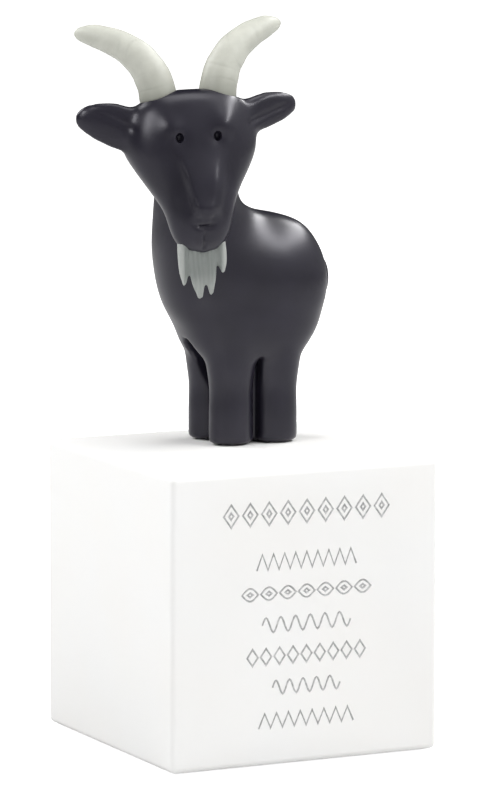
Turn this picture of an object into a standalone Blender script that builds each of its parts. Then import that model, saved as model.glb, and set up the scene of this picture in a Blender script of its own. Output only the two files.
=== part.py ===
"""Cast resin goat figurine on a cube plinth, as the pieces it is put together from.

Metres, +Z up. The origin is the middle of the felt rest face. The plinth's front face
looks along -Y, the goat's chest points along -X and its head is turned to look along -Y.
"""

import math

import bmesh
import bpy
from mathutils import Matrix, Vector

MM = 0.001

# Fits between pieces
GAP = 0.3 * MM
TENON_CLEARANCE = 0.3 * MM

# Plinth and its felt
PLINTH_SIDE = 60.0 * MM
PLINTH_EDGE_ROUND = 1.3 * MM
PLINTH_EDGE_STEPS = 3
FELT_MARGIN = 3.0 * MM
FELT_THICKNESS = 1.5 * MM
FELT_PROUD = 0.5 * MM

# Where the goat stands, from the middle of the plinth's top
STAND_X = 6.0 * MM
STAND_Y = 11.3 * MM

# Trunk: chest to rump, side to side, and the belly and back above the feet
TRUNK_LENGTH = 37.6 * MM
TRUNK_WIDTH = 24.0 * MM
BELLY_HEIGHT = 19.0 * MM
BACK_HEIGHT = 48.3 * MM
NECK_HEIGHT = 67.0 * MM
NECK_SHIFT = 4.0 * MM
NECK_SHIFT_FROM = 0.8
TRUNK_SQUARENESS = 2.1

# Legs and the steel pins in their feet
LEG_HALF_LENGTH = 4.7 * MM
LEG_HALF_WIDTH = 4.15 * MM
LEG_PITCH_LENGTH = 10.2 * MM
LEG_PITCH_WIDTH = 9.6 * MM
LEG_SINK = 7.0 * MM
LEG_SKIN_FROM = 9.0 * MM
LEG_OVERLAP = 3.0 * MM
LEG_FLARE = 1.3
LEG_FLARE_FROM = 0.62
LEG_FLARE_HALF = 0.9
SLIT_MARGIN = 0.12 * MM
SIDE_SLIT_HEIGHT = 18.0 * MM
END_SLIT_HEIGHT = 20.5 * MM
FOOT_ROUND = 0.5 * MM
PIN_RADIUS = 1.25 * MM
PIN_IN_LEG = 6.0 * MM
PIN_IN_PLINTH = 7.0 * MM

# Head: the middle of its ear line, its turn and its overall sizes
HEAD_X = -15.95 * MM
HEAD_Y = -8.7 * MM
HEAD_Z = 67.3 * MM
HEAD_YAW = math.radians(-12.0)
HEAD_ROLL = math.radians(2.2)
HEAD_WIDTH = 27.6 * MM
HEAD_HEIGHT = 32.0 * MM
HEAD_DEPTH = 23.0 * MM
EYE_SPACING = 8.1 * MM
EYE_DROP = 2.4 * MM
EYE_RADIUS = 0.65 * MM
EYE_DEPTH = 0.8 * MM

# Ears
EAR_REACH = 23.5 * MM
EAR_SWEEP = 4.6 * MM
LEFT_EAR_HEIGHT = 8.8 * MM
RIGHT_EAR_HEIGHT = 9.8 * MM
LEFT_EAR_DROP = 0.0 * MM
RIGHT_EAR_DROP = 0.9 * MM
LEFT_EAR_LOBE = 0.78
RIGHT_EAR_LOBE = 1.08
EAR_THICKNESS = 3.6 * MM
EAR_HOLLOW_LENGTH = 9.6 * MM
EAR_HOLLOW_HEIGHT = 5.0 * MM
EAR_HOLLOW_DEPTH = 1.2 * MM
EAR_HOLLOW_REACH = 0.74
EAR_HOLLOW_RISE = 0.08
EAR_FRONT_SHARE = 0.45

# Horns
HORN_SPREAD = 21.4 * MM
HORN_ROOT_OFFSET = 6.2 * MM
HORN_ROOT_BACK = 2.5 * MM
HORN_ROOT_RISE = 5.0 * MM
HORN_RISE = 13.4 * MM
HORN_SWEEP = 7.2 * MM
HORN_RADIUS = 3.85 * MM
HORN_SEAT_DEPTH = 1.6 * MM
TENON_RADIUS = 1.8 * MM
TENON_LENGTH = 4.5 * MM

# Beard
BEARD_WIDTH = 10.2 * MM
BEARD_LENGTH = 12.0 * MM
BEARD_THICKNESS = 3.4 * MM
BEARD_FORWARD = 4.4 * MM
BEARD_TOP_DROP = 24.0 * MM
BEARD_TENON_RADIUS = 1.2 * MM
BEARD_TENON_LENGTH = 4.0 * MM
BEARD_SEAT_HALF_SHARE = 0.56
BEARD_SEAT_ABOVE = 0.7 * MM
STRAND_POINTEDNESS = 1.5
STRAND_FULLNESS = 1.15
STRAND_THINNING = 0.35
STRAND_LEAST = 0.05 * MM

# Tail
TAIL_LENGTH = 8.4 * MM
TAIL_WIDTH = 4.6 * MM
TAIL_THICKNESS = 3.6 * MM
TAIL_HEIGHT = 33.4 * MM
TAIL_LEAN = math.radians(4.0)
TAIL_PROUD = 2.2 * MM

# Fineness of the modelled skin
SKIN_VOXEL = 0.8 * MM
SKIN_SMOOTHING = 8
SKIN_KEPT_SHARE = 0.13
BEARD_VOXEL = 0.32 * MM
BEARD_SMOOTHING = 2
BEARD_KEPT_SHARE = 0.13
RING_SIDES = 32
ROUND_SIDES = 20
EYE_SIDES = 12
HORN_SIDES = 16
STRAND_STEPS = 8
STEPS_BETWEEN_RIBS = 4
HORN_STEPS = 3
SHARP_ANGLE = math.radians(40.0)

# Colours of the finishes
CHARCOAL = (0.045, 0.040, 0.052)
PALE_GREY = (0.62, 0.63, 0.58)
WHITE = (0.90, 0.90, 0.90)
FELT_GREY = (0.60, 0.59, 0.57)
STEEL_GREY = (0.55, 0.56, 0.58)

PLINTH_TOP = FELT_PROUD + PLINTH_SIDE

# Name, side, height, drop and fullness of the lower edge of each ear: the goat's left is
# towards +X
EARS = (
    ("left", 1.0, LEFT_EAR_HEIGHT, LEFT_EAR_DROP, LEFT_EAR_LOBE),
    ("right", -1.0, RIGHT_EAR_HEIGHT, RIGHT_EAR_DROP, RIGHT_EAR_LOBE),
)

# Ribs of the trunk and neck, from the rump forwards. Each is the share of the trunk's
# length where its upper and lower ends lie (0 over the legs' middle, + to the rump), the
# share of the way from belly to back of both ends, and the share of the trunk's width.
TRUNK_RIBS = (
    (0.468, 0.550, 0.468, 0.490, 0.06),
    (0.449, 0.655, 0.449, 0.320, 0.42),
    (0.402, 0.785, 0.412, 0.200, 0.69),
    (0.325, 0.903, 0.330, 0.085, 0.88),
    (0.185, 0.965, 0.185, 0.020, 0.98),
    (0.050, 1.000, 0.000, 0.000, 1.00),
    (-0.035, 1.060, -0.265, 0.070, 0.98),
    (-0.075, 1.145, -0.445, 0.285, 0.93),
    (-0.098, 1.270, -0.530, 0.635, 0.86),
    (-0.120, 1.405, -0.540, 0.970, 0.80),
    (-0.120, 1.540, -0.534, 1.270, 0.75),
    (-0.185, 1.670, -0.540, 1.470, 0.58),
)

# Ribs of the haunches, the mass that narrows from the trunk down onto the four legs:
# height as a share of the belly's, front and rear ends as shares of half the length that
# the legs span, half width as a share of half of the width they span, and squareness.
HAUNCH_RIBS = (
    (0.93, -0.90, 0.90, 0.90, 3.4),
    (0.96, -1.12, 1.16, 1.04, 3.2),
    (1.10, -1.32, 1.41, 1.16, 2.8),
    (1.26, -1.47, 1.62, 1.24, 2.5),
    (1.47, -1.70, 1.76, 1.29, 2.3),
    (1.75, -1.84, 1.80, 1.28, 2.1),
    (2.00, -1.60, 1.60, 1.10, 2.0),
)

# Ribs of the head, crown to chin: height in shares of the head's height from its ear
# line, front and back ends in shares of its depth, half width in shares of its width,
# and squareness.
HEAD_RIBS = (
    (0.212, 0.040, -0.030, 0.12, 2.0),
    (0.200, 0.085, -0.105, 0.24, 2.0),
    (0.160, 0.145, -0.209, 0.345, 2.1),
    (0.090, 0.198, -0.348, 0.425, 2.2),
    (0.000, 0.240, -0.457, 0.475, 2.2),
    (-0.090, 0.264, -0.500, 0.497, 2.2),
    (-0.190, 0.278, -0.500, 0.497, 2.2),
    (-0.300, 0.291, -0.370, 0.435, 2.1),
    (-0.430, 0.326, -0.280, 0.340, 2.1),
    (-0.550, 0.365, -0.087, 0.268, 2.1),
    (-0.660, 0.370, -0.017, 0.238, 2.1),
    (-0.750, 0.335, 0.025, 0.200, 2.0),
    (-0.805, 0.285, 0.090, 0.135, 2.0),
    (-0.830, 0.240, 0.150, 0.055, 2.0),
)

# Ribs of an ear, root to tip: reach, upper edge, lower edge, and thickness shares.
EAR_RIBS = (
    (0.36, 0.32, -0.38, 0.90),
    (0.47, 0.46, -0.52, 1.00),
    (0.60, 0.57, -0.46, 0.95),
    (0.74, 0.60, -0.32, 0.85),
    (0.86, 0.57, -0.17, 0.75),
    (0.94, 0.50, -0.02, 0.62),
    (0.985, 0.40, 0.08, 0.40),
    (1.00, 0.30, 0.18, 0.12),
)

# Path and girth of a horn, root to tip: spread, rise and backward sweep shares, radius.
HORN_RIBS = (
    (0.00, 0.00, 0.00, 1.00),
    (0.03, 0.20, 0.04, 0.99),
    (0.11, 0.43, 0.12, 0.94),
    (0.26, 0.66, 0.26, 0.86),
    (0.48, 0.84, 0.46, 0.75),
    (0.74, 0.96, 0.72, 0.62),
    (0.91, 1.00, 0.90, 0.43),
    (0.98, 1.02, 0.97, 0.26),
    (1.00, 1.03, 1.00, 0.08),
)

# Strands of the beard: sideways place of root and tip, length and width, as shares.
BEARD_STRANDS = (
    (-0.35, -0.40, 0.76, 0.23),
    (-0.15, -0.05, 1.00, 0.38),
    (0.14, 0.17, 0.95, 0.31),
    (0.35, 0.44, 0.58, 0.21),
)


def clear_scene():
    """Remove every object that the scene starts with."""
    for old in list(bpy.context.scene.objects):
        bpy.data.objects.remove(old, do_unlink=True)


def finish_material(name, colour, roughness, metallic=0.0):
    """Principled material of one colour."""
    material = bpy.data.materials.new(name)
    material.use_nodes = True
    shader = material.node_tree.nodes["Principled BSDF"]
    shader.inputs["Base Color"].default_value = (*colour, 1.0)
    shader.inputs["Roughness"].default_value = roughness
    shader.inputs["Metallic"].default_value = metallic
    material.diffuse_color = (*colour, 1.0)
    return material


def add_empty(name, parent=None, matrix=None):
    """Empty that places the pieces parented to it."""
    empty = bpy.data.objects.new(name, None)
    bpy.context.scene.collection.objects.link(empty)
    empty.parent = parent
    empty.matrix_local = matrix or Matrix.Identity(4)
    return empty


def add_object(name, bm, material, parent=None, matrix=None, flat=False):
    """Object made from a bmesh, which is freed here."""
    bmesh.ops.recalc_face_normals(bm, faces=bm.faces)
    mesh = bpy.data.meshes.new(name)
    bm.to_mesh(mesh)
    bm.free()
    if not flat:
        mesh.shade_smooth()
        mesh.set_sharp_from_angle(angle=SHARP_ANGLE)
    if material:
        mesh.materials.append(material)
    obj = bpy.data.objects.new(name, mesh)
    bpy.context.scene.collection.objects.link(obj)
    obj.parent = parent
    obj.matrix_local = matrix or Matrix.Identity(4)
    return obj


def add_cutter(name, bm, parent=None, matrix=None):
    """Helper solid for a Boolean: left out of the model itself."""
    cutter = add_object(name, bm, None, parent, matrix, flat=True)
    cutter.hide_render = True
    cutter.display_type = "WIRE"
    return cutter


def boolean(target, cutter, operation="DIFFERENCE"):
    """Exact Boolean of the target with a cutter."""
    modifier = target.modifiers.new(cutter.name, "BOOLEAN")
    modifier.object = cutter
    modifier.operation = operation
    modifier.solver = "EXACT"


def eased(rows, steps=STEPS_BETWEEN_RIBS):
    """Rows along the Catmull-Rom curve through the given rows, which it keeps."""
    out = []
    last = len(rows) - 1
    for index in range(last):
        before = rows[max(index - 1, 0)]
        here = rows[index]
        after = rows[index + 1]
        beyond = rows[min(index + 2, last)]
        for step in range(steps):
            t = step / steps
            out.append(tuple(
                0.5 * (2.0 * b + (c - a) * t + (2.0 * a - 5.0 * b + 4.0 * c - d) * t * t
                       + (3.0 * b - a - 3.0 * c + d) * t * t * t)
                for a, b, c, d in zip(before, here, after, beyond)
            ))
    out.append(tuple(rows[last]))
    return out


def oval_ring(bm, upper, lower, sideways, half_width, squareness=2.0):
    """Ring of vertices between two opposite points: an oval, or squarer than one."""
    middle = (upper + lower) / 2.0
    half_span = (upper - lower) / 2.0
    ring = []
    for side in range(RING_SIDES):
        angle = 2.0 * math.pi * side / RING_SIDES
        along = math.cos(angle)
        across = math.sin(angle)
        power = 2.0 / squareness
        along = math.copysign(abs(along) ** power, along)
        across = math.copysign(abs(across) ** power, across)
        ring.append(bm.verts.new(middle + half_span * along + sideways * half_width * across))
    return ring


def skin_rings(bm, rings):
    """Closed skin over rings of equal count, with a face over each end."""
    for first, second in zip(rings, rings[1:]):
        for side in range(len(first)):
            following = (side + 1) % len(first)
            bm.faces.new((first[side], first[following], second[following], second[side]))
    bm.faces.new(rings[0])
    bm.faces.new(reversed(rings[-1]))


def add_cylinder(bm, radius, bottom, top, at=(0.0, 0.0), sides=ROUND_SIDES):
    """Upright cylinder between two heights."""
    place = Matrix.Translation((at[0], at[1], (bottom + top) / 2.0))
    bmesh.ops.create_cone(bm, cap_ends=True, segments=sides, radius1=radius,
                          radius2=radius, depth=top - bottom, matrix=place)


def add_box(bm, half_x, half_y, bottom, top):
    """Upright box between two heights, centred on Z."""
    place = Matrix.Translation((0.0, 0.0, (bottom + top) / 2.0))
    size = Matrix.Diagonal((2.0 * half_x, 2.0 * half_y, top - bottom, 1.0))
    bmesh.ops.create_cube(bm, size=1.0, matrix=place @ size)


def head_matrix():
    """Place and turn of the head over the goat's stand."""
    place = Matrix.Translation((HEAD_X, HEAD_Y, HEAD_Z))
    return place @ Matrix.Rotation(HEAD_YAW, 4, "Z") @ Matrix.Rotation(-HEAD_ROLL, 4, "Y")


def trunk_rings(bm):
    """Trunk and neck, rib by rib from the rump to inside the head."""
    rings = []
    trunk_depth = BACK_HEIGHT - BELLY_HEIGHT
    shift_start = BACK_HEIGHT * NECK_SHIFT_FROM
    for top_x, top_z, low_x, low_z, width in eased(TRUNK_RIBS):
        middle_z = BELLY_HEIGHT + (top_z + low_z) / 2.0 * trunk_depth
        climb = (middle_z - shift_start) / (NECK_HEIGHT - shift_start)
        y = -NECK_SHIFT * min(max(climb, 0.0), 1.0)
        upper = Vector((top_x * TRUNK_LENGTH, y, BELLY_HEIGHT + top_z * trunk_depth))
        lower = Vector((low_x * TRUNK_LENGTH, y, BELLY_HEIGHT + low_z * trunk_depth))
        half_width = width * TRUNK_WIDTH / 2.0
        rings.append(oval_ring(bm, upper, lower, Vector((0.0, 1.0, 0.0)), half_width,
                               TRUNK_SQUARENESS))
    skin_rings(bm, rings)


def haunch_rings(bm):
    """Lower mass of the trunk, narrowing onto the legs."""
    half_length = LEG_PITCH_LENGTH / 2.0 + LEG_HALF_LENGTH
    half_span = LEG_PITCH_WIDTH / 2.0 + LEG_HALF_WIDTH
    rings = []
    for height, front, rear, width, squareness in eased(HAUNCH_RIBS):
        z = height * BELLY_HEIGHT
        upper = Vector((rear * half_length, 0.0, z))
        lower = Vector((front * half_length, 0.0, z))
        rings.append(oval_ring(bm, upper, lower, Vector((0.0, 1.0, 0.0)),
                               width * half_span, squareness))
    skin_rings(bm, rings)


def head_rings(bm, pose):
    """Head from crown to chin, in its own turned axes."""
    start = len(bm.verts)
    rings = []
    for height, front, back, width, squareness in eased(HEAD_RIBS):
        z = height * HEAD_HEIGHT
        upper = Vector((0.0, -front * HEAD_DEPTH, z))
        lower = Vector((0.0, -back * HEAD_DEPTH, z))
        rings.append(oval_ring(bm, upper, lower, Vector((1.0, 0.0, 0.0)),
                               width * HEAD_WIDTH, squareness))
    skin_rings(bm, rings)
    bm.verts.ensure_lookup_table()
    bmesh.ops.transform(bm, matrix=pose, verts=bm.verts[start:])


def ear_rings(bm, pose, side, ear_height, drop, lobe):
    """One ear: a flat leaf that reaches out sideways and a little back."""
    start = len(bm.verts)
    rings = []
    for reach, top, bottom, thick in eased(EAR_RIBS):
        x = side * reach * EAR_REACH
        sweep = reach * reach * EAR_SWEEP
        upper = Vector((x, sweep, top * ear_height - drop))
        low = bottom * (lobe if bottom < 0.0 else 1.0) * ear_height
        lower = Vector((x, sweep, low - drop))
        rings.append(oval_ring(bm, upper, lower, Vector((0.0, 1.0, 0.0)),
                               thick * EAR_THICKNESS / 2.0))
    skin_rings(bm, rings)
    bm.verts.ensure_lookup_table()
    bmesh.ops.transform(bm, matrix=pose, verts=bm.verts[start:])


def face_depth(drop, sideways):
    """How far forward the face stands, at a drop below the ear line and a sideways place."""
    for above, below in zip(HEAD_RIBS, HEAD_RIBS[1:]):
        if above[0] * HEAD_HEIGHT >= -drop >= below[0] * HEAD_HEIGHT:
            share = (above[0] * HEAD_HEIGHT + drop) / ((above[0] - below[0]) * HEAD_HEIGHT)
            front, back, width = (
                a + (b - a) * share for a, b in zip(above[1:4], below[1:4])
            )
            bulge = math.sqrt(1.0 - (sideways / (width * HEAD_WIDTH)) ** 2)
            return ((front + back) / 2.0 + (front - back) / 2.0 * bulge) * HEAD_DEPTH
    raise ValueError("the drop lies below the chin")


def drill_eyes(body, head_pose):
    """Two small round holes in the face."""
    for name, side in (("left", 1.0), ("right", -1.0)):
        x = side * EYE_SPACING / 2.0
        depth = face_depth(EYE_DROP, x)
        hole = bmesh.new()
        facing = Matrix.Rotation(math.radians(90.0), 4, "X")
        place = Matrix.Translation((x, -depth, -EYE_DROP)) @ facing
        add_cylinder(hole, EYE_RADIUS, -EYE_DEPTH, EYE_DEPTH * 2.0, sides=EYE_SIDES)
        boolean(body, add_cutter(f"{name}_eye", hole, head_pose, place))


def hollow_ears(body, head_pose):
    """A shallow spoon-shaped hollow in the front of each ear."""
    for name, side, ear_height, drop, _ in EARS:
        reach = EAR_HOLLOW_REACH
        slope = math.atan(2.0 * reach * EAR_SWEEP / EAR_REACH)
        front = reach * reach * EAR_SWEEP - EAR_THICKNESS * EAR_FRONT_SHARE
        scoop = bmesh.new()
        bmesh.ops.create_uvsphere(scoop, u_segments=16, v_segments=10, radius=0.5)
        size = (EAR_HOLLOW_LENGTH, EAR_HOLLOW_DEPTH * 2.0, EAR_HOLLOW_HEIGHT, 1.0)
        bmesh.ops.transform(scoop, matrix=Matrix.Diagonal(size), verts=scoop.verts)
        middle = ear_height * EAR_HOLLOW_RISE - drop
        place = Matrix.Translation((side * reach * EAR_REACH, front, middle))
        turn = Matrix.Rotation(side * slope, 4, "Z")
        boolean(body, add_cutter(f"{name}_ear_hollow", scoop, head_pose, place @ turn))


def leg_places():
    """Name and place of each leg, seen from the goat: its left is towards -Y."""
    half_length = LEG_PITCH_LENGTH / 2.0
    half_width = LEG_PITCH_WIDTH / 2.0
    return (
        ("front_left", -half_length, -half_width),
        ("front_right", -half_length, half_width),
        ("hind_left", half_length, -half_width),
        ("hind_right", half_length, half_width),
    )


def leg_rings(bm, x, y, stations):
    """One leg: an upright oval column, through (height, growth) stations."""
    rings = []
    for z, growth in stations:
        half_length = LEG_HALF_LENGTH + growth
        upper = Vector((x + half_length, y, z))
        lower = Vector((x - half_length, y, z))
        rings.append(oval_ring(bm, upper, lower, Vector((0.0, 1.0, 0.0)),
                               LEG_HALF_WIDTH + growth))
    skin_rings(bm, rings)


def upper_leg(bm, x, y):
    """The part of a leg that flows into the trunk, a little wider towards its top."""
    flare = (LEG_FLARE - 1.0) * LEG_HALF_LENGTH
    stations = ((LEG_SKIN_FROM, 0.0), (BELLY_HEIGHT * LEG_FLARE_FROM, 0.0),
                (BELLY_HEIGHT * LEG_FLARE_HALF, flare / 2.0), (BELLY_HEIGHT + LEG_SINK, flare))
    leg_rings(bm, x, y, stations)


def lower_leg(bm, x, y):
    """The straight lower part of a leg, with a softly rounded foot."""
    stations = ((GAP, -FOOT_ROUND), (GAP + FOOT_ROUND * 0.3, -FOOT_ROUND * 0.3),
                (GAP + FOOT_ROUND, 0.0), (LEG_SKIN_FROM + LEG_OVERLAP, 0.0))
    leg_rings(bm, x, y, stations)


def cut_slits(body, stand):
    """Part the legs: one slit seen from the sides, and one seen from the chest and rump."""
    reach = LEG_PITCH_LENGTH + LEG_HALF_LENGTH
    side = bmesh.new()
    half_gap = LEG_PITCH_LENGTH / 2.0 - LEG_HALF_LENGTH + SLIT_MARGIN
    add_box(side, half_gap, reach, -GAP, SIDE_SLIT_HEIGHT)
    boolean(body, add_cutter("side_slit", side, stand))
    end = bmesh.new()
    half_gap = LEG_PITCH_WIDTH / 2.0 - LEG_HALF_WIDTH + SLIT_MARGIN
    add_box(end, reach, half_gap, -GAP, END_SLIT_HEIGHT)
    boolean(body, add_cutter("end_slit", end, stand))


def horn_frames(side):
    """Centre and radius of each horn section, in the head's axes."""
    frames = []
    for spread, rise, sweep, girth in eased(HORN_RIBS, HORN_STEPS):
        x = HORN_ROOT_OFFSET + spread * (HORN_SPREAD - HORN_ROOT_OFFSET)
        z = HORN_ROOT_RISE + rise * HORN_RISE
        y = HORN_ROOT_BACK + sweep * HORN_SWEEP
        frames.append((Vector((side * x, y, z)), girth * HORN_RADIUS))
    return frames


def ring_across(bm, centre, axis, radius, sides=HORN_SIDES):
    """Round ring of vertices square to an axis."""
    turn = axis.to_track_quat("Z", "Y")
    ring = []
    for side in range(sides):
        angle = 2.0 * math.pi * side / sides
        local = Vector((radius * math.cos(angle), radius * math.sin(angle), 0.0))
        ring.append(bm.verts.new(centre + turn @ local))
    return ring


def add_tenon(bm, foot, axis, radius, length, sink):
    """Round peg that starts inside the piece and stands out from its foot along -axis."""
    turn = axis.to_track_quat("Z", "Y").to_matrix().to_4x4()
    start = len(bm.verts)
    add_cylinder(bm, radius, -length, sink)
    bm.verts.ensure_lookup_table()
    bmesh.ops.transform(bm, matrix=Matrix.Translation(foot) @ turn, verts=bm.verts[start:])


def horn_piece(name, side, head, pose_parent, material):
    """Horn with its peg, and its seat and socket in the head."""
    frames = horn_frames(side)
    axis = (frames[2][0] - frames[0][0]).normalized()
    foot = frames[0][0] - axis * HORN_SEAT_DEPTH
    frames = [(foot, HORN_RADIUS)] + frames

    bm = bmesh.new()
    rings = []
    for index, (centre, radius) in enumerate(frames):
        ahead = frames[min(index + 1, len(frames) - 1)][0]
        behind = frames[max(index - 1, 0)][0]
        direction = axis if index < 2 else (ahead - behind).normalized()
        rings.append(ring_across(bm, centre, direction, radius))
    skin_rings(bm, rings)
    horn = add_object(name, bm, material, pose_parent)

    peg = bmesh.new()
    add_tenon(peg, foot, axis, TENON_RADIUS, TENON_LENGTH, HORN_SEAT_DEPTH)
    boolean(horn, add_cutter(f"{name}_peg", peg, pose_parent), "UNION")

    seat = bmesh.new()
    seat_top = HORN_RADIUS * 2.0
    add_tenon(seat, foot, axis, HORN_RADIUS + GAP, GAP, seat_top)
    boolean(head, add_cutter(f"{name}_seat", seat, pose_parent))
    socket = bmesh.new()
    add_tenon(socket, foot, axis, TENON_RADIUS + TENON_CLEARANCE, TENON_LENGTH + GAP, GAP)
    boolean(head, add_cutter(f"{name}_socket", socket, pose_parent))
    return horn


def strand_rings(bm, root, tip, length, width):
    """One pointed strand of the beard, hanging from z = 0."""
    rings = []
    for step in range(STRAND_STEPS + 1):
        t = step / STRAND_STEPS
        taper = math.sqrt(1.0 - t ** STRAND_POINTEDNESS)
        x = (root + (tip - root) * t) * BEARD_WIDTH
        half_width = width * BEARD_WIDTH / 2.0 * taper * STRAND_FULLNESS
        half_width = max(half_width, STRAND_LEAST)
        half_thick = BEARD_THICKNESS / 2.0 * taper * (1.0 - STRAND_THINNING * t)
        half_thick = max(half_thick, STRAND_LEAST)
        centre = Vector((x, 0.0, -t * length * BEARD_LENGTH))
        out = Vector((0.0, half_thick, 0.0))
        rings.append(oval_ring(bm, centre + out, centre - out, Vector((1.0, 0.0, 0.0)),
                               half_width))
    skin_rings(bm, rings)


def beard_piece(head, pose_parent, material):
    """Beard of joined strands, with its peg and the seat and socket under the chin."""
    place = Matrix.Translation((0.0, -BEARD_FORWARD, -BEARD_TOP_DROP))
    bm = bmesh.new()
    for root, tip, length, width in BEARD_STRANDS:
        strand_rings(bm, root, tip, length, width)
    beard = add_object("beard", bm, material, pose_parent, place)
    remesh = beard.modifiers.new("join strands", "REMESH")
    remesh.mode = "VOXEL"
    remesh.voxel_size = BEARD_VOXEL
    soften = beard.modifiers.new("soften", "SMOOTH")
    soften.iterations = BEARD_SMOOTHING
    thin_out = beard.modifiers.new("thin out", "DECIMATE")
    thin_out.ratio = BEARD_KEPT_SHARE

    peg = bmesh.new()
    add_cylinder(peg, BEARD_TENON_RADIUS, -BEARD_TENON_LENGTH / 2.0, BEARD_TENON_LENGTH)
    boolean(beard, add_cutter("beard_peg", peg, pose_parent, place), "UNION")

    seat = bmesh.new()
    seat_half_width = BEARD_WIDTH * BEARD_SEAT_HALF_SHARE + GAP
    seat_half_depth = BEARD_THICKNESS / 2.0 + GAP
    add_box(seat, seat_half_width, seat_half_depth, -BEARD_LENGTH, BEARD_SEAT_ABOVE)
    boolean(head, add_cutter("beard_seat", seat, pose_parent, place))
    socket = bmesh.new()
    add_cylinder(socket, BEARD_TENON_RADIUS + TENON_CLEARANCE, 0.0, BEARD_TENON_LENGTH + GAP)
    boolean(head, add_cutter("beard_socket", socket, pose_parent, place))
    return beard


def tail_solid(growth):
    """Flattened egg, longer than wide, grown all round by a clearance."""
    bm = bmesh.new()
    bmesh.ops.create_uvsphere(bm, u_segments=20, v_segments=14, radius=1.0)
    size = (TAIL_THICKNESS / 2.0 + growth, TAIL_WIDTH / 2.0 + growth,
            TAIL_LENGTH / 2.0 + growth, 1.0)
    bmesh.ops.transform(bm, matrix=Matrix.Diagonal(size), verts=bm.verts)
    return bm


def tail_piece(body, stand, material):
    """Tail half sunk in a seat of its own shape on the rump."""
    rump = TRUNK_RIBS[0][0] * TRUNK_LENGTH
    x = rump + TAIL_PROUD - TAIL_THICKNESS / 2.0
    place = Matrix.Translation((x, 0.0, TAIL_HEIGHT)) @ Matrix.Rotation(-TAIL_LEAN, 4, "Y")
    add_object("tail", tail_solid(0.0), material, stand, place)
    boolean(body, add_cutter("tail_seat", tail_solid(GAP), stand, place))


def body_piece(stand, material):
    """Body casting: trunk, haunches, legs, head and ears as one skin, parted legs."""
    bm = bmesh.new()
    trunk_rings(bm)
    haunch_rings(bm)
    for _, x, y in leg_places():
        upper_leg(bm, x, y)
    pose = head_matrix()
    head_rings(bm, pose)
    for _, side, ear_height, drop, lobe in EARS:
        ear_rings(bm, pose, side, ear_height, drop, lobe)
    body = add_object("goat_body", bm, material, stand)
    remesh = body.modifiers.new("one skin", "REMESH")
    remesh.mode = "VOXEL"
    remesh.voxel_size = SKIN_VOXEL
    remesh.use_smooth_shade = True
    soften = body.modifiers.new("soften", "SMOOTH")
    soften.iterations = SKIN_SMOOTHING
    thin_out = body.modifiers.new("thin out", "DECIMATE")
    thin_out.ratio = SKIN_KEPT_SHARE

    for name, x, y in leg_places():
        column = bmesh.new()
        lower_leg(column, x, y)
        boolean(body, add_cutter(f"leg_{name}", column, stand), "UNION")
    cut_slits(body, stand)
    return body


def plinth_piece(material, felt_material):
    """Plinth block with a recess below, and the felt pad let into it."""
    plinth = bmesh.new()
    add_box(plinth, PLINTH_SIDE / 2.0, PLINTH_SIDE / 2.0, FELT_PROUD, PLINTH_TOP)
    block = add_object("plinth_block", plinth, material)
    edges = block.modifiers.new("edges", "BEVEL")
    edges.width = PLINTH_EDGE_ROUND
    edges.segments = PLINTH_EDGE_STEPS

    recess = bmesh.new()
    felt_half = PLINTH_SIDE / 2.0 - FELT_MARGIN
    add_box(recess, felt_half + GAP, felt_half + GAP, -FELT_PROUD, FELT_THICKNESS + GAP)
    boolean(block, add_cutter("felt_recess", recess))
    felt = bmesh.new()
    add_box(felt, felt_half, felt_half, 0.0, FELT_THICKNESS)
    add_object("base_felt", felt, felt_material, flat=True)
    return block


def pin_pieces(body, block, stand, material):
    """Steel dowel pins, each in a hole that runs through foot and plinth."""
    for name, x, y in leg_places():
        pin = bmesh.new()
        add_cylinder(pin, PIN_RADIUS, -PIN_IN_PLINTH, PIN_IN_LEG, (x, y))
        add_object(f"foot_pin_{name}", pin, material, stand)
        hole = bmesh.new()
        add_cylinder(hole, PIN_RADIUS + GAP, -PIN_IN_PLINTH - GAP, PIN_IN_LEG + GAP, (x, y))
        cutter = add_cutter(f"hole_{name}", hole, stand)
        boolean(body, cutter)
        boolean(block, cutter)


def main():
    """Make every piece."""
    clear_scene()
    body_finish = finish_material("charcoal resin", CHARCOAL, 0.42)
    pale_finish = finish_material("pale grey resin", PALE_GREY, 0.50)
    plinth_finish = finish_material("white resin", WHITE, 0.60)
    felt_finish = finish_material("felt", FELT_GREY, 0.95)
    steel_finish = finish_material("steel", STEEL_GREY, 0.35, 1.0)

    stand = add_empty("stand", None, Matrix.Translation((STAND_X, STAND_Y, PLINTH_TOP)))
    head_pose = add_empty("head_pose", stand, head_matrix())

    body = body_piece(stand, body_finish)
    horn_piece("left_horn", 1.0, body, head_pose, pale_finish)
    horn_piece("right_horn", -1.0, body, head_pose, pale_finish)
    beard_piece(body, head_pose, pale_finish)
    tail_piece(body, stand, body_finish)
    drill_eyes(body, head_pose)
    hollow_ears(body, head_pose)

    block = plinth_piece(plinth_finish, felt_finish)
    pin_pieces(body, block, stand, steel_finish)


main()
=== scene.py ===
"""Looks of the cast resin goat figurine on its cube plinth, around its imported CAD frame.

Metres, +Z up, origin in the middle of the rest face. The plinth's carved face looks along
-Y, the goat's chest points along -X and its head is turned to look along -Y.
"""

import math

import bmesh
import bpy
import numpy as np
from bpy.props import FloatProperty, FloatVectorProperty, PointerProperty
from mathutils import Matrix, Vector


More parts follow.
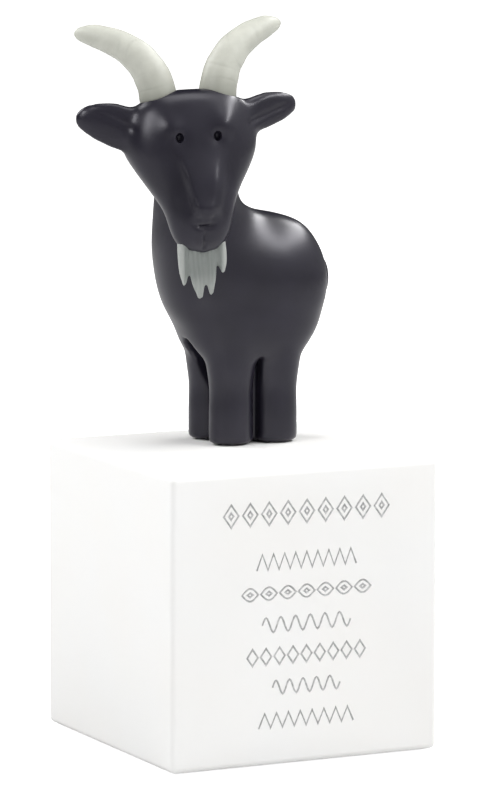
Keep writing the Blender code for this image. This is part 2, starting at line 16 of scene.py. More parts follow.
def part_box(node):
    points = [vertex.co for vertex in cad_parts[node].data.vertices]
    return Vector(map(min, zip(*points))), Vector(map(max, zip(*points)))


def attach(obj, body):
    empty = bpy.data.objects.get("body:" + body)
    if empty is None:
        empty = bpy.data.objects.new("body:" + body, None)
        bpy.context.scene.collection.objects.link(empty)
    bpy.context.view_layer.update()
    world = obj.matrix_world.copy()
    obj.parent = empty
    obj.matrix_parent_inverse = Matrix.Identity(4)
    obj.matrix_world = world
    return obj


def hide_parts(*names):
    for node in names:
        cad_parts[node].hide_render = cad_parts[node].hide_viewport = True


bl_info = {
    "name": "Resin Goat on Plinth",
    "version": (1, 0, 0),
    "blender": (4, 5, 0),
    "location": "View3D > Sidebar > Goat",
    "description": "Builds the detailed pieces and finishes of a resin goat figurine",
    "category": "Add Mesh",
}

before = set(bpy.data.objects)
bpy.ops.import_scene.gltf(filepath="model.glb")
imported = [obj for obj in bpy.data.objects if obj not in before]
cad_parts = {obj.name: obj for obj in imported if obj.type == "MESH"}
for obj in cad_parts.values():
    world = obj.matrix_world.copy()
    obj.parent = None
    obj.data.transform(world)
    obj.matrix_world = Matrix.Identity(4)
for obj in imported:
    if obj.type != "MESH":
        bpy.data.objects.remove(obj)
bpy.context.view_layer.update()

MM = 0.001
GAP = 0.3 * MM

# Rings that a loft gets from one rib to the next
RIB_STEPS = 8

# Trunk and neck: length, width, and the heights of belly, back and neck above the feet
TRUNK_LENGTH = 37.6 * MM
TRUNK_WIDTH = 24.0 * MM
BELLY_HEIGHT = 19.0 * MM
BACK_HEIGHT = 48.3 * MM
NECK_HEIGHT = 67.0 * MM
NECK_SHIFT = 4.0 * MM
NECK_SHIFT_FROM = 0.8
TRUNK_SQUARENESS = 2.1

# Legs: sizes, spacing, and from the foot up the heights where they have grown by a little
LEG_HALF_LENGTH = 4.7 * MM
LEG_HALF_WIDTH = 4.15 * MM
LEG_PITCH_LENGTH = 10.2 * MM
LEG_PITCH_WIDTH = 9.6 * MM
FOOT_ROUND = 0.5 * MM
LEG_STATIONS = ((6.0 * MM, 0.0), (11.8 * MM, 0.0), (17.1 * MM, 0.7 * MM), (26.0 * MM, 1.41 * MM))

# Between the legs: the web behind the slits on the long sides, how much wider than the gap
# between the legs a slit is at the foot and at its spring, and the arch at both ends.
LEG_WEB = 4.3 * MM
SLIT_WIDENING = (1.5, 1.8)
SLIT_SPRING = 15.0 * MM
SLIT_CROWN = 18.4 * MM
ARCH_HALF_WIDTH = 2.4 * MM
ARCH_SPRING = 17.4 * MM
ARCH_CROWN = 22.0 * MM

# Head: the middle of its ear line over the goat's stand, its turn and overall sizes
HEAD_PLACE = (-15.95 * MM, -8.7 * MM, 67.3 * MM)
HEAD_YAW = math.radians(-12.0)
HEAD_ROLL = math.radians(2.2)
HEAD_WIDTH = 27.6 * MM
HEAD_HEIGHT = 32.0 * MM
HEAD_DEPTH = 23.0 * MM

# Ears: side (+1 is the goat's left), height, drop and fullness of the lower edge
EAR_REACH = 23.42 * MM
EAR_SWEEP = 4.6 * MM
EAR_THICKNESS = 3.6 * MM
EARS = ((1.0, 8.8 * MM, 0.0, 0.78), (-1.0, 9.8 * MM, 0.9 * MM, 1.08))

# Folds in the front of the ears: for each ear the hollow's depth, then the fold's start,
# its rise there, its slope and its depth, and how far the lip under it stands out.
EAR_FOLDS = ((0.30, 0.48, -0.10, 0.88, 0.28, 0.08), (0.14, 0.50, -0.02, 1.25, 0.12, 0.0))

# Eyes: sideways place, place in front of the ear line and drop under it
EYE_SPREAD = 3.95 * MM
EYE_FORWARD = 5.6 * MM
EYE_DROP = 2.6 * MM

# Horns
HORN_SPREAD = 21.4 * MM
HORN_ROOT_OFFSET = 6.2 * MM
HORN_ROOT_BACK = 2.5 * MM
HORN_ROOT_RISE = 5.0 * MM
HORN_RISE = 13.35 * MM
HORN_SWEEP = 7.2 * MM
HORN_RADIUS = 3.85 * MM
HORN_SEAT_DEPTH = 1.6 * MM
HORN_SEAM = 0.45 * MM

# Beard
BEARD_WIDTH = 10.2 * MM
BEARD_LENGTH = 12.0 * MM
BEARD_THICKNESS = 3.4 * MM
BEARD_FORWARD = 4.4 * MM
BEARD_TOP_DROP = 24.0 * MM
BEARD_TAPER = 2.2

# Grooves in a strand of the beard: share of its width sideways, and share of the depth
STRAND_GROOVES = ((-0.33, 0.7), (0.05, 1.0), (0.36, 0.6))

# Tail
TAIL_LENGTH = 8.4 * MM
TAIL_WIDTH = 4.6 * MM
TAIL_THICKNESS = 3.6 * MM
TAIL_HEIGHT = 33.4 * MM
TAIL_LEAN = math.radians(4.0)
TAIL_PROUD = 2.2 * MM

# Voxel sizes of the skins that join overlapping shapes
FIRST_SKIN = 0.42 * MM
FINE_SKIN = 0.34 * MM
BEARD_SKIN = 0.2 * MM

# Edges that turn by more than this stay sharp
BODY_SHARP_ANGLE = math.radians(38.0)
PLINTH_SHARP_ANGLE = math.radians(30.0)

# Ribs of the trunk and neck, rump to neck: shares of the length where the upper and lower
# ends lie, each with its share of the way from belly to back, and the share of the width.
TRUNK_RIBS = (
    (0.468, 0.550, 0.468, 0.490, 0.06),
    (0.449, 0.655, 0.449, 0.320, 0.42),
    (0.402, 0.785, 0.412, 0.200, 0.69),
    (0.325, 0.903, 0.330, 0.085, 0.88),
    (0.185, 0.965, 0.185, 0.020, 0.98),
    (0.050, 1.000, 0.000, 0.000, 1.00),
    (-0.035, 1.060, -0.265, 0.070, 0.98),
    (-0.075, 1.145, -0.445, 0.285, 0.93),
    (-0.098, 1.270, -0.530, 0.635, 0.86),
    (-0.120, 1.405, -0.540, 0.970, 0.80),
    (-0.120, 1.540, -0.534, 1.270, 0.75),
    (-0.185, 1.670, -0.540, 1.470, 0.58),
)

# Ribs of the haunches, legs to trunk: share of the belly's height, front and rear ends and
# half width as shares of half of what the legs span, and squareness.
HAUNCH_RIBS = (
    (0.93, -0.90, 0.90, 0.90, 3.4),
    (0.96, -1.12, 1.16, 1.04, 3.2),
    (1.10, -1.32, 1.41, 1.16, 2.8),
    (1.26, -1.47, 1.62, 1.24, 2.5),
    (1.47, -1.70, 1.76, 1.29, 2.3),
    (1.75, -1.84, 1.80, 1.28, 2.1),
    (2.00, -1.60, 1.60, 1.10, 2.0),
)

# Ribs of the head, crown to chin: shares of its height, of its depth to the front and to
# the back, and of its width, and squareness.
HEAD_RIBS = (
    (0.212, 0.040, -0.030, 0.12, 2.0),
    (0.200, 0.085, -0.105, 0.24, 2.0),
    (0.160, 0.145, -0.209, 0.345, 2.1),
    (0.090, 0.198, -0.348, 0.425, 2.2),
    (0.000, 0.240, -0.457, 0.475, 2.2),
    (-0.090, 0.264, -0.500, 0.497, 2.2),
    (-0.190, 0.278, -0.500, 0.497, 2.2),
    (-0.300, 0.291, -0.370, 0.435, 2.1),
    (-0.430, 0.326, -0.280, 0.340, 2.1),
    (-0.550, 0.365, -0.087, 0.268, 2.1),
    (-0.660, 0.370, -0.017, 0.238, 2.1),
    (-0.750, 0.335, 0.025, 0.200, 2.0),
    (-0.805, 0.285, 0.090, 0.135, 2.0),
    (-0.830, 0.240, 0.150, 0.055, 2.0),
)

# Ribs of an ear, root to tip: reach, upper edge, lower edge and thickness shares.
EAR_RIBS = (
    (0.36, 0.32, -0.38, 0.90),
    (0.47, 0.46, -0.52, 1.00),
    (0.60, 0.57, -0.46, 0.95),
    (0.74, 0.60, -0.32, 0.85),
    (0.86, 0.57, -0.17, 0.75),
    (0.94, 0.50, -0.02, 0.62),
    (0.985, 0.40, 0.08, 0.40),
    (1.00, 0.30, 0.18, 0.12),
)

# Path and girth of a horn, root to tip: spread, rise and backward sweep shares, radius.
HORN_RIBS = (
    (0.00, 0.00, 0.00, 1.00),
    (0.03, 0.20, 0.04, 0.99),
    (0.11, 0.43, 0.12, 0.94),
    (0.26, 0.66, 0.26, 0.86),
    (0.48, 0.84, 0.46, 0.75),
    (0.74, 0.96, 0.72, 0.62),
    (0.91, 1.00, 0.90, 0.43),
    (0.98, 1.02, 0.97, 0.26),
    (1.00, 1.03, 1.00, 0.08),
)

# Strands of the beard: sideways place of root and tip, length and width, as shares.
BEARD_STRANDS = (
    (-0.36, -0.38, 0.76, 0.23),
    (-0.15, -0.06, 1.00, 0.32),
    (0.15, 0.17, 0.95, 0.25),
    (0.36, 0.43, 0.58, 0.22),
)

# Soft marks modelled in the face, on the head's own axes in millimetres: sideways place,
# height, half width, half height, turn in degrees, and how far the mark stands out.
FACE_MARKS = (
    (-5.4, -0.5, 2.0, 2.6, 10.0, 0.60),
    (5.6, -0.5, 2.8, 3.0, -20.0, 1.05),
    (-3.9, -2.6, 1.5, 1.6, 0.0, -0.50),
    (3.9, -2.6, 1.5, 1.6, 0.0, -0.65),
    (3.4, -13.4, 2.2, 3.2, 0.0, 0.42),
    (0.2, -17.7, 2.3, 1.7, 0.0, 0.42),
    (-1.4, -19.0, 0.45, 0.5, -35.0, -0.40),
    (1.6, -19.0, 0.45, 0.5, 35.0, -0.40),
)

# Nose and mouth on the same axes: the bridge's rise, top, foot and flanks on the goat's
# right and left, the mouth's height and depth, and the cleft's depth, top and foot.
BRIDGE_RISE = 1.20
BRIDGE_TOP = -4.0
BRIDGE_FOOT = -19.8
BRIDGE_FLANKS = (1.7, 3.6)
MOUTH_HEIGHT = -20.6
MOUTH_DEPTH = 0.80
CLEFT_DEPTH = 0.60
CLEFT_TOP = -21.2
CLEFT_FOOT = -25.8

# Growth lines of a horn: share along it, slant, depth and half width in millimetres
HORN_LINES = (
    (0.17, 0.02, 0.05, 0.22),
    (0.29, -0.02, 0.07, 0.20),
    (0.44, 0.10, 0.13, 0.20),
    (0.63, -0.04, 0.05, 0.30),
    (0.82, 0.06, 0.06, 0.20),
)

# Soft boxes: name, azimuth from -Y and elevation in degrees, size, and share of the power
SOFT_BOXES = (
    ("band_box", 78.0, 44.0, (1.60, 0.12), 8.4),
    ("right_box", 60.0, 66.0, (0.50, 0.30), 0.5),
    ("left_box", -72.0, 27.0, (0.30, 0.40), 2.9),
    ("top_box", 0.0, 84.0, (0.50, 0.50), 2.4),
    ("back_box", -140.0, 35.0, (0.40, 0.50), 4.7),
)
SOFT_BOX_DISTANCE = 0.9
SOFT_BOX_TARGET = (0.0, 0.0, 0.1)

# Glow of the studio's walls: the direction it comes from, and its strength there
STUDIO_GLOWS = (
    ((0.90, -0.44, 0.09), 0.56),
    ((-0.44, -0.89, 0.09), 0.12),
    ((0.10, -0.60, 0.79), 0.42),
)
STUDIO_DIM = 0.02
STUDIO_WHITE = 1.02

# Camera: the point it looks at, its lens and film width in millimetres, and its roll
CAMERA_TARGET = (2.72 * MM, 4.69 * MM, 69.76 * MM)
CAMERA_LENS = 226.7
CAMERA_FILM = 36.0
CAMERA_ROLL = math.radians(0.134)
FLOOR_RADIUS = 4.0


# ---------------------------------------------------------------- colours and materials

def from_hex(code):
    """Linear RGB of an sRGB hex colour."""
    parts = [int(code[start:start + 2], 16) / 255.0 for start in (0, 2, 4)]
    return tuple(c / 12.92 if c <= 0.04045 else ((c + 0.055) / 1.055) ** 2.4 for c in parts)


def add_node(tree, kind, settings=None, inputs=None):
    """Adds one node, with its settings and what its inputs hold or are linked to."""
    made = tree.nodes.new(kind)
    for name, value in (settings or {}).items():
        setattr(made, name, value)
    for name, value in (inputs or {}).items():
        if isinstance(value, bpy.types.NodeSocket):
            tree.links.new(value, made.inputs[name])
        else:
            made.inputs[name].default_value = value
    return made


def new_material(name, roughness, metallic=0.0):
    """Empty node material with a Principled shader: the material, its tree, its shader."""
    material = bpy.data.materials.new(name)
    material.use_nodes = True
    tree = material.node_tree
    shader = tree.nodes["Principled BSDF"]
    shader.inputs["Roughness"].default_value = roughness
    shader.inputs["Metallic"].default_value = metallic
    return material, tree, shader


def noise(tree, size, detail=2.0, roughness=0.5, stretch=(1.0, 1.0, 1.0)):
    """Noise whose blotches are about size metres across, on the object's coordinates."""
    place = add_node(tree, "ShaderNodeTexCoord").outputs["Object"]
    turned = add_node(tree, "ShaderNodeMapping", None, {"Vector": place, "Scale": stretch})
    return add_node(tree, "ShaderNodeTexNoise", None, {
        "Vector": turned.outputs["Vector"], "Scale": 1.0 / size,
        "Detail": detail, "Roughness": roughness}).outputs["Fac"]


def blend_colours(tree, factor, first, second):
    """Colour that goes from first to second with factor."""
    mix = add_node(tree, "ShaderNodeMix", {"data_type": "RGBA"})
    for socket, value in ((mix.inputs[0], factor), (mix.inputs[6], first),
                          (mix.inputs[7], second)):
        if isinstance(value, bpy.types.NodeSocket):
            tree.links.new(value, socket)
        elif isinstance(value, float):
            socket.default_value = value
        else:
            socket.default_value = (*value[:3], 1.0)
    return mix.outputs[2]


def remap(tree, value, low, high, to_low, to_high):
    """Value between low and high turned to between to_low and to_high, and held there."""
    return add_node(tree, "ShaderNodeMapRange", None, {
        "Value": value, "From Min": low, "From Max": high,
        "To Min": to_low, "To Max": to_high}).outputs["Result"]


def mottle(tree, shader, pattern, low, high, first, second):
    """Base colour that goes from first to second as the pattern goes from low to high."""
    share = remap(tree, pattern, low, high, 0.0, 1.0)
    tree.links.new(blend_colours(tree, share, first, second), shader.inputs["Base Color"])


def bump(tree, shader, height, strength, distance):
    """Fine relief on the shader, from a height and its depth in metres."""
    made = add_node(tree, "ShaderNodeBump", None, {
        "Height": height, "Strength": strength, "Distance": distance})
    tree.links.new(made.outputs["Normal"], shader.inputs["Normal"])


def charcoal_resin(looks):
    """Cast polyresin, tumbled and sprayed with a satin charcoal lacquer."""
    # Satin lacquer: broad soft highlights, a faint violet cast, and the very slight
    # unevenness of a sprayed coat, cloudy over 7 mm and orange-peeled over 0.6 mm.
    roughness = looks.resin_roughness
    material, tree, shader = new_material("satin_charcoal_resin", roughness)
    clouds = noise(tree, 7.0 * MM, 1.0)
    base = looks.resin_colour
    mottle(tree, shader, clouds, 0.1, 0.9, [c * 0.75 for c in base], [c * 1.25 for c in base])
    gloss = remap(tree, clouds, 0.1, 0.9, roughness - 0.015, roughness + 0.015)
    tree.links.new(gloss, shader.inputs["Roughness"])
    shader.inputs["IOR"].default_value = 1.46
    shader.inputs["Specular Tint"].default_value = (0.95, 0.94, 1.0, 1.0)
    bump(tree, shader, noise(tree, 0.6 * MM, 1.0), 0.06, 0.03 * MM)
    return material


def eye_dark_fill():
    """Near-black finish on the walls of the drilled eyes."""
    # Near black and a little uneven over 0.5 mm, with a soft gloss.
    material, tree, shader = new_material("black_eye_fill", 0.45)
    mottle(tree, shader, noise(tree, 0.5 * MM), 0.3, 0.7, from_hex("060608"), from_hex("121216"))
    shader.inputs["Specular IOR Level"].default_value = 0.2
    return material


def washed_and_shaded_resin(name, colour, wash_and_shade, roughness):
    """Cast polyresin painted pale grey, with a thin dark wash in the horns' low places and painted
    shade on the beard.
    """
    # Hand-painted matt paint: a chalky surface that is a little blotchy over 3 mm, brush
    # streaks 0.5 mm apart, and a darker colour where the attribute says: on the horns a
    # greenish-brown wash that pools in their low places, on the beard painted shade.
    material, tree, shader = new_material(name, roughness)
    blotchy = remap(tree, noise(tree, 3.0 * MM, 4.0, 0.6), 0.35, 0.65, 0.0, 0.16)
    painted = blend_colours(tree, blotchy, colour, wash_and_shade)
    # On the beard this darker colour is painted shade; on the horns it is the wash.
    darkened = add_node(tree, "ShaderNodeAttribute", {"attribute_name": "wash_and_shade"}).outputs["Fac"]
    tree.links.new(blend_colours(tree, darkened, painted, wash_and_shade), shader.inputs["Base Color"])
    bump(tree, shader, noise(tree, 0.5 * MM, 2.0, 0.5, (1.0, 1.0, 0.3)), 0.25, 0.05 * MM)
    return material


def white_resin(looks):
    """Cast polyresin block, wet-sanded and sprayed matt white."""
    # Matt white: almost no highlight, a soft warm unevenness over 25 mm, and the fine
    # grain of the sanding, about 0.35 mm, that only shows close up.
    material, tree, shader = new_material("matt_white_resin", 0.62)
    base = looks.plinth_colour
    warmer = [base[0], base[1] * 0.992, base[2] * 0.982]
    mottle(tree, shader, noise(tree, 25.0 * MM), 0.35, 0.65, base[:], warmer)
    bump(tree, shader, noise(tree, 0.35 * MM, 3.0, 0.6), 0.15, 0.03 * MM)
    return material


def engraving_shade(looks):
    """Matt grey in the engraved lines: painted shade that stands in for the shade of their V-grooves.
    """
    # Painted shade in the grooves: matt, patchy over 0.8 mm along a line.
    material, tree, shader = new_material("painted_groove_shade", 0.75)
    base = looks.engraving_shade_colour
    paler = [c + (1.0 - c) * 0.35 for c in base]
    mottle(tree, shader, noise(tree, 0.8 * MM), 0.35, 0.65, base[:], paler)
    return material


def wool_felt(looks):
    """Pressed wool felt, die-cut and glued on."""
    # Felt: no highlight, a soft sheen from loose fibres, fibres about 0.3 mm apart drawn
    # as stretched noise, and thicker tufts every 2 mm.
    material, tree, shader = new_material("pressed_wool_felt", 0.95)
    base = looks.felt_colour
    paler = [min(c * 1.15, 1.0) for c in base]
    mottle(tree, shader, noise(tree, 2.0 * MM, 4.0, 0.7), 0.3, 0.7, base[:], paler)
    shader.inputs["Sheen Weight"].default_value = 0.3
    shader.inputs["Sheen Roughness"].default_value = 0.6
    bump(tree, shader, noise(tree, 0.3 * MM, 3.0, 0.7, (1.0, 0.35, 1.0)), 0.6, 0.12 * MM)
    return material


def drawn_steel(looks):
    """Drawn steel wire cut to length for a dowel pin."""
    # Drawn steel: metallic, with fine lines along the wire about 0.15 mm apart.
    material, tree, shader = new_material("drawn_steel", 0.32, 1.0)
    base = looks.steel_colour
    lines = noise(tree, 0.15 * MM, 2.0, 0.5, (1.0, 1.0, 0.03))
    mottle(tree, shader, lines, 0.3, 0.7, [c * 0.8 for c in base], base[:])
    bump(tree, shader, lines, 0.2, 0.01 * MM)
    return material


# --------------------------------------------------------------------- shapes in numpy

def eased(ribs, steps):
    """Catmull-Rom rows through the ribs: each row is a cubic blend of four ribs."""
    ribs = np.asarray(ribs, float)
    held = np.vstack((ribs[:1], ribs, ribs[-1:]))
    count = len(ribs) - 1
    before, here, after, beyond = (held[i:count + i, None, :] for i in range(4))
    t = (np.arange(steps) / steps)[None, :, None]
    curve = 0.5 * (2.0 * here + (after - before) * t
                   + (2.0 * before - 5.0 * here + 4.0 * after - beyond) * t ** 2
                   + (3.0 * here - before - 3.0 * after + beyond) * t ** 3)
    return np.vstack((curve.reshape(-1, ribs.shape[1]), ribs[-1:]))


def oval_grid(upper, lower, sideways, half_width, squareness, sides):
    """Grid of rings: ring i runs round from upper[i] to lower[i] and back.

    A point is the middle, plus cosine to the power 2/squareness along the half span, plus
    sine to the same power across it: an ellipse at 2 and nearer a rectangle above it.
    """
    angle = 2.0 * np.pi * np.arange(sides) / sides
    power = 2.0 / np.broadcast_to(squareness, len(upper))[:, None]
    along = np.sign(np.cos(angle)) * np.abs(np.cos(angle)) ** power
    across = np.sign(np.sin(angle)) * np.abs(np.sin(angle)) ** power
    middle = (upper + lower) / 2.0
    half_span = (upper - lower) / 2.0
    wide = np.asarray(half_width)[:, None] * across
    return (middle[:, None, :] + half_span[:, None, :] * along[..., None]
            + np.asarray(sideways, float) * wide[..., None])


def grid_faces(rings, sides):
    """Quads between each ring and the next, and one face over each end."""
    ring, side = np.meshgrid(np.arange(rings - 1), np.arange(sides), indexing="ij")
    here = ring * sides + side
    beside = ring * sides + (side + 1) % sides
    quads = np.stack((here, beside, beside + sides, here + sides), -1).reshape(-1, 4)
    last = (rings - 1) * sides
    return quads.tolist() + [list(range(sides - 1, -1, -1)), list(range(last, last + sides))]


def joined(grids):
    """Points and faces of several ring grids as one set."""
    points, faces, start = [], [], 0
    for grid in grids:
        rings, sides, _ = grid.shape
        points.append(grid.reshape(-1, 3))
        faces += [[start + corner for corner in face] for face in grid_faces(rings, sides)]
        start += rings * sides
    return np.vstack(points), faces


def placed(points, matrix):
    """Points moved by a 4x4 matrix."""
    matrix = np.array(matrix, float)
    return points @ matrix[:3, :3].T + matrix[:3, 3]


def make_piece(name, points, faces, smooth=True):
    """Object at the origin with these points and faces, all faces pointing outwards."""
    mesh = bpy.data.meshes.new(name)
    mesh.from_pydata(points, [], faces)
    tidy = bmesh.new()
    tidy.from_mesh(mesh)
    bmesh.ops.recalc_face_normals(tidy, faces=tidy.faces)
    tidy.to_mesh(mesh)
    tidy.free()
    if smooth:
        mesh.shade_smooth()
    obj = bpy.data.objects.new(name, mesh)
    bpy.context.scene.collection.objects.link(obj)
    return obj


def read_points(mesh):
    """Vertex places as an array."""
    points = np.empty(len(mesh.vertices) * 3)
    mesh.vertices.foreach_get("co", points)
    return points.reshape(-1, 3)


def read_normals(mesh):
    """Vertex normals as an array."""
    normals = np.empty(len(mesh.vertices) * 3)
    mesh.vertex_normals.foreach_get("vector", normals)
    return normals.reshape(-1, 3)


def write_points(mesh, points):
    """Puts vertex places back into the mesh."""
    mesh.vertices.foreach_set("co", points.ravel())
    mesh.update()


def settle_modifiers(obj):
    """Replaces the mesh by what its modifiers make of it."""
    graph = bpy.context.evaluated_depsgraph_get()
    graph.update()
    settled = bpy.data.meshes.new_from_object(obj.evaluated_get(graph))
    old = obj.data
    obj.modifiers.clear()
    obj.data = settled
    bpy.data.meshes.remove(old)
    obj.data.name = obj.name


def one_skin(obj, voxel):
    """Joins overlapping closed shells into one even skin of voxel-sized faces."""
    skin = obj.modifiers.new("skin", "REMESH")
    skin.mode = "VOXEL"
    skin.voxel_size = voxel
    skin.use_smooth_shade = True
    settle_modifiers(obj)


def relax(mesh, share, rounds):
    """Moves every point by its share of the way to its neighbours' mean, in rounds."""
    points = read_points(mesh)
    count = len(points)
    edges = np.empty(len(mesh.edges) * 2, np.int64)
    mesh.edges.foreach_get("vertices", edges)
    first, second = edges.reshape(-1, 2).T
    ends = np.concatenate((first, second))
    others = np.concatenate((second, first))
    degree = np.maximum(np.bincount(ends, minlength=count), 1)
    share = np.broadcast_to(share, count)
    for _ in range(rounds):
        mean = np.stack([np.bincount(ends, points[others, axis], count)
                         for axis in range(3)], 1) / degree[:, None]
        points = points + (mean - points) * share[:, None]
    write_points(mesh, points)


def cut(obj, cutters):
    """Exact Boolean cuts with the cutters, which are then removed."""
    for cutter in cutters:
        modifier = obj.modifiers.new(cutter.name, "BOOLEAN")
        modifier.object = cutter
        modifier.operation = "DIFFERENCE"
        modifier.solver = "EXACT"
    settle_modifiers(obj)
    for cutter in cutters:
        old = cutter.data
        bpy.data.objects.remove(cutter)
        bpy.data.meshes.remove(old)


def smooth_step(value):
    """0 below 0, 1 above 1, and an S-shaped cubic in between."""
    held = np.clip(value, 0.0, 1.0)
    return held * held * (3.0 - 2.0 * held)


def set_attribute(mesh, name, values):
    """Point attribute that the materials read."""
    layer = mesh.attributes.new(name, "FLOAT", "POINT")
    layer.data.foreach_set("value", np.asarray(values, np.float32))


# ---------------------------------------------------------------------------- places

def stand_matrix():
    """Middle of the four feet on the plinth's top, from the pins and the plinth."""
    pins = [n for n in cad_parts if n.startswith("foot_pin")]
    middles = [sum(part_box(n), Vector()) / 2.0 for n in pins]
    x, y, _ = sum(middles, Vector()) / len(middles)
    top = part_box("plinth_block")[1].z
    return Matrix.Translation((x, y, top))


def head_matrix():
    """Place and turn of the head."""
    turn = Matrix.Rotation(HEAD_YAW, 4, "Z") @ Matrix.Rotation(-HEAD_ROLL, 4, "Y")
    return stand_matrix() @ Matrix.Translation(HEAD_PLACE) @ turn


# ------------------------------------------------------------------------- goat's body

def trunk_grid(sides):
    """Trunk and neck: an oval ring on each eased rib, sliding sideways up the neck."""
    top_x, top_z, low_x, low_z, width = eased(TRUNK_RIBS, RIB_STEPS).T
    depth = BACK_HEIGHT - BELLY_HEIGHT
    start = BACK_HEIGHT * NECK_SHIFT_FROM
    middle_z = BELLY_HEIGHT + (top_z + low_z) / 2.0 * depth
    y = -NECK_SHIFT * np.clip((middle_z - start) / (NECK_HEIGHT - start), 0.0, 1.0)
    upper = np.stack((top_x * TRUNK_LENGTH, y, BELLY_HEIGHT + top_z * depth), 1)
    lower = np.stack((low_x * TRUNK_LENGTH, y, BELLY_HEIGHT + low_z * depth), 1)
    half_width = width * TRUNK_WIDTH / 2.0
    return oval_grid(upper, lower, (0, 1, 0), half_width, TRUNK_SQUARENESS, sides)


def haunch_grid(sides):
    """Haunches: a squared oval ring on each eased rib, narrowing onto the legs."""
    height, front, rear, width, squareness = eased(HAUNCH_RIBS, RIB_STEPS).T
    half_length = LEG_PITCH_LENGTH / 2.0 + LEG_HALF_LENGTH
    half_span = LEG_PITCH_WIDTH / 2.0 + LEG_HALF_WIDTH
    z = height * BELLY_HEIGHT
    none = np.zeros_like(z)
    upper = np.stack((rear * half_length, none, z), 1)
    lower = np.stack((front * half_length, none, z), 1)
    return oval_grid(upper, lower, (0, 1, 0), width * half_span, squareness, sides)


def leg_grid(x, y, sides):
    """A leg: an oval column that starts with a rounded foot and widens near its top."""
    foot = [(GAP + FOOT_ROUND * rise, FOOT_ROUND * out) for rise, out in
            ((0.0, -1.0), (0.3, -0.3), (1.0, 0.0))]
    z, growth = np.array((*foot, *LEG_STATIONS)).T
    there = np.full_like(z, y)
    upper = np.stack((x + LEG_HALF_LENGTH + growth, there, z), 1)
    lower = np.stack((x - LEG_HALF_LENGTH - growth, there, z), 1)
    return oval_grid(upper, lower, (0, 1, 0), LEG_HALF_WIDTH + growth, 2.0, sides)


def head_grid(sides):
    """Head: an oval ring across each eased rib, crown to chin, on the head's axes."""
    height, front, back, width, squareness = eased(HEAD_RIBS, RIB_STEPS).T
    z = height * HEAD_HEIGHT
    none = np.zeros_like(z)
    upper = np.stack((none, -front * HEAD_DEPTH, z), 1)
    lower = np.stack((none, -back * HEAD_DEPTH, z), 1)
    return oval_grid(upper, lower, (1, 0, 0), width * HEAD_WIDTH, squareness, sides)


def ear_grid(side, ear_height, drop, lobe, sides):
    """Ear: a flat oval ring on each eased rib, swept back by the square of its reach."""
    reach, top, bottom, thick = eased(EAR_RIBS, RIB_STEPS).T
    x = side * reach * EAR_REACH
    y = reach * reach * EAR_SWEEP
    upper = np.stack((x, y, top * ear_height - drop), 1)
    bottom = np.where(bottom < 0.0, bottom * lobe, bottom)
    lower = np.stack((x, y, bottom * ear_height - drop), 1)
    return oval_grid(upper, lower, (0, 1, 0), thick * EAR_THICKNESS / 2.0, 2.0, sides)


def vault(name, along, low_half, wide_half, spring, crown, reach):
    """Closed prism with a round top, to part two pairs of legs.

    Its half width goes from low_half at the feet to wide_half at the spring along an S, and
    from there to nothing at the crown as a quarter ellipse. It runs along X when along is 0
    and along Y when it is 1.
    """
    rise = np.linspace(0.0, 1.0, 14)
    turn = np.linspace(0.0, np.pi / 2.0, 14)[1:]
    z = np.concatenate((-GAP + rise * (spring + GAP), spring + (crown - spring) * np.sin(turn)))
    widening = (wide_half - low_half) * smooth_step(rise * 2.0 - 1.0)
    half = np.concatenate((low_half + widening, wide_half * np.cos(turn)))
    across = np.concatenate((half, -half[::-1][1:]))
    up = np.concatenate((z, z[::-1][1:]))
    near = np.zeros((len(up), 3))
    near[:, 1 - along] = across
    near[:, 2] = up
    far = near.copy()
    near[:, along] = -reach
    far[:, along] = reach
    points, faces = joined([np.stack((near, far))])
    return make_piece(name, placed(points, stand_matrix()), faces, smooth=False)


def web_grid(side):
    """Thin wall that joins the two legs of one side inside their slit: an upright box."""
    x = LEG_PITCH_LENGTH / 4.0
    y = side * (LEG_PITCH_WIDTH / 2.0 - LEG_HALF_WIDTH + LEG_WEB / 2.0)
    z = np.array((GAP * 2.0, BELLY_HEIGHT))
    middle = np.stack((np.zeros(2), np.full(2, y), z), 1)
    out = np.array((x, 0.0, 0.0))
    return oval_grid(middle + out, middle - out, (0, 1, 0), np.full(2, LEG_WEB / 2.0), 8.0, 32)


def ball(name, matrix, radii, rings=24, sides=32):
    """Ellipsoid: radii times the sines and cosines of latitude and longitude."""
    latitude = np.linspace(0.0, np.pi, rings)[:, None]
    latitude = np.clip(latitude, 0.01, np.pi - 0.01)
    longitude = (2.0 * np.pi * np.arange(sides) / sides)[None, :]
    grid = np.stack((np.sin(latitude) * np.cos(longitude) * radii[0],
                     np.sin(latitude) * np.sin(longitude) * radii[1],
                     np.cos(latitude) * radii[2] * np.ones_like(longitude)), -1)
    points, faces = joined([grid])
    return make_piece(name, placed(points, matrix), faces)


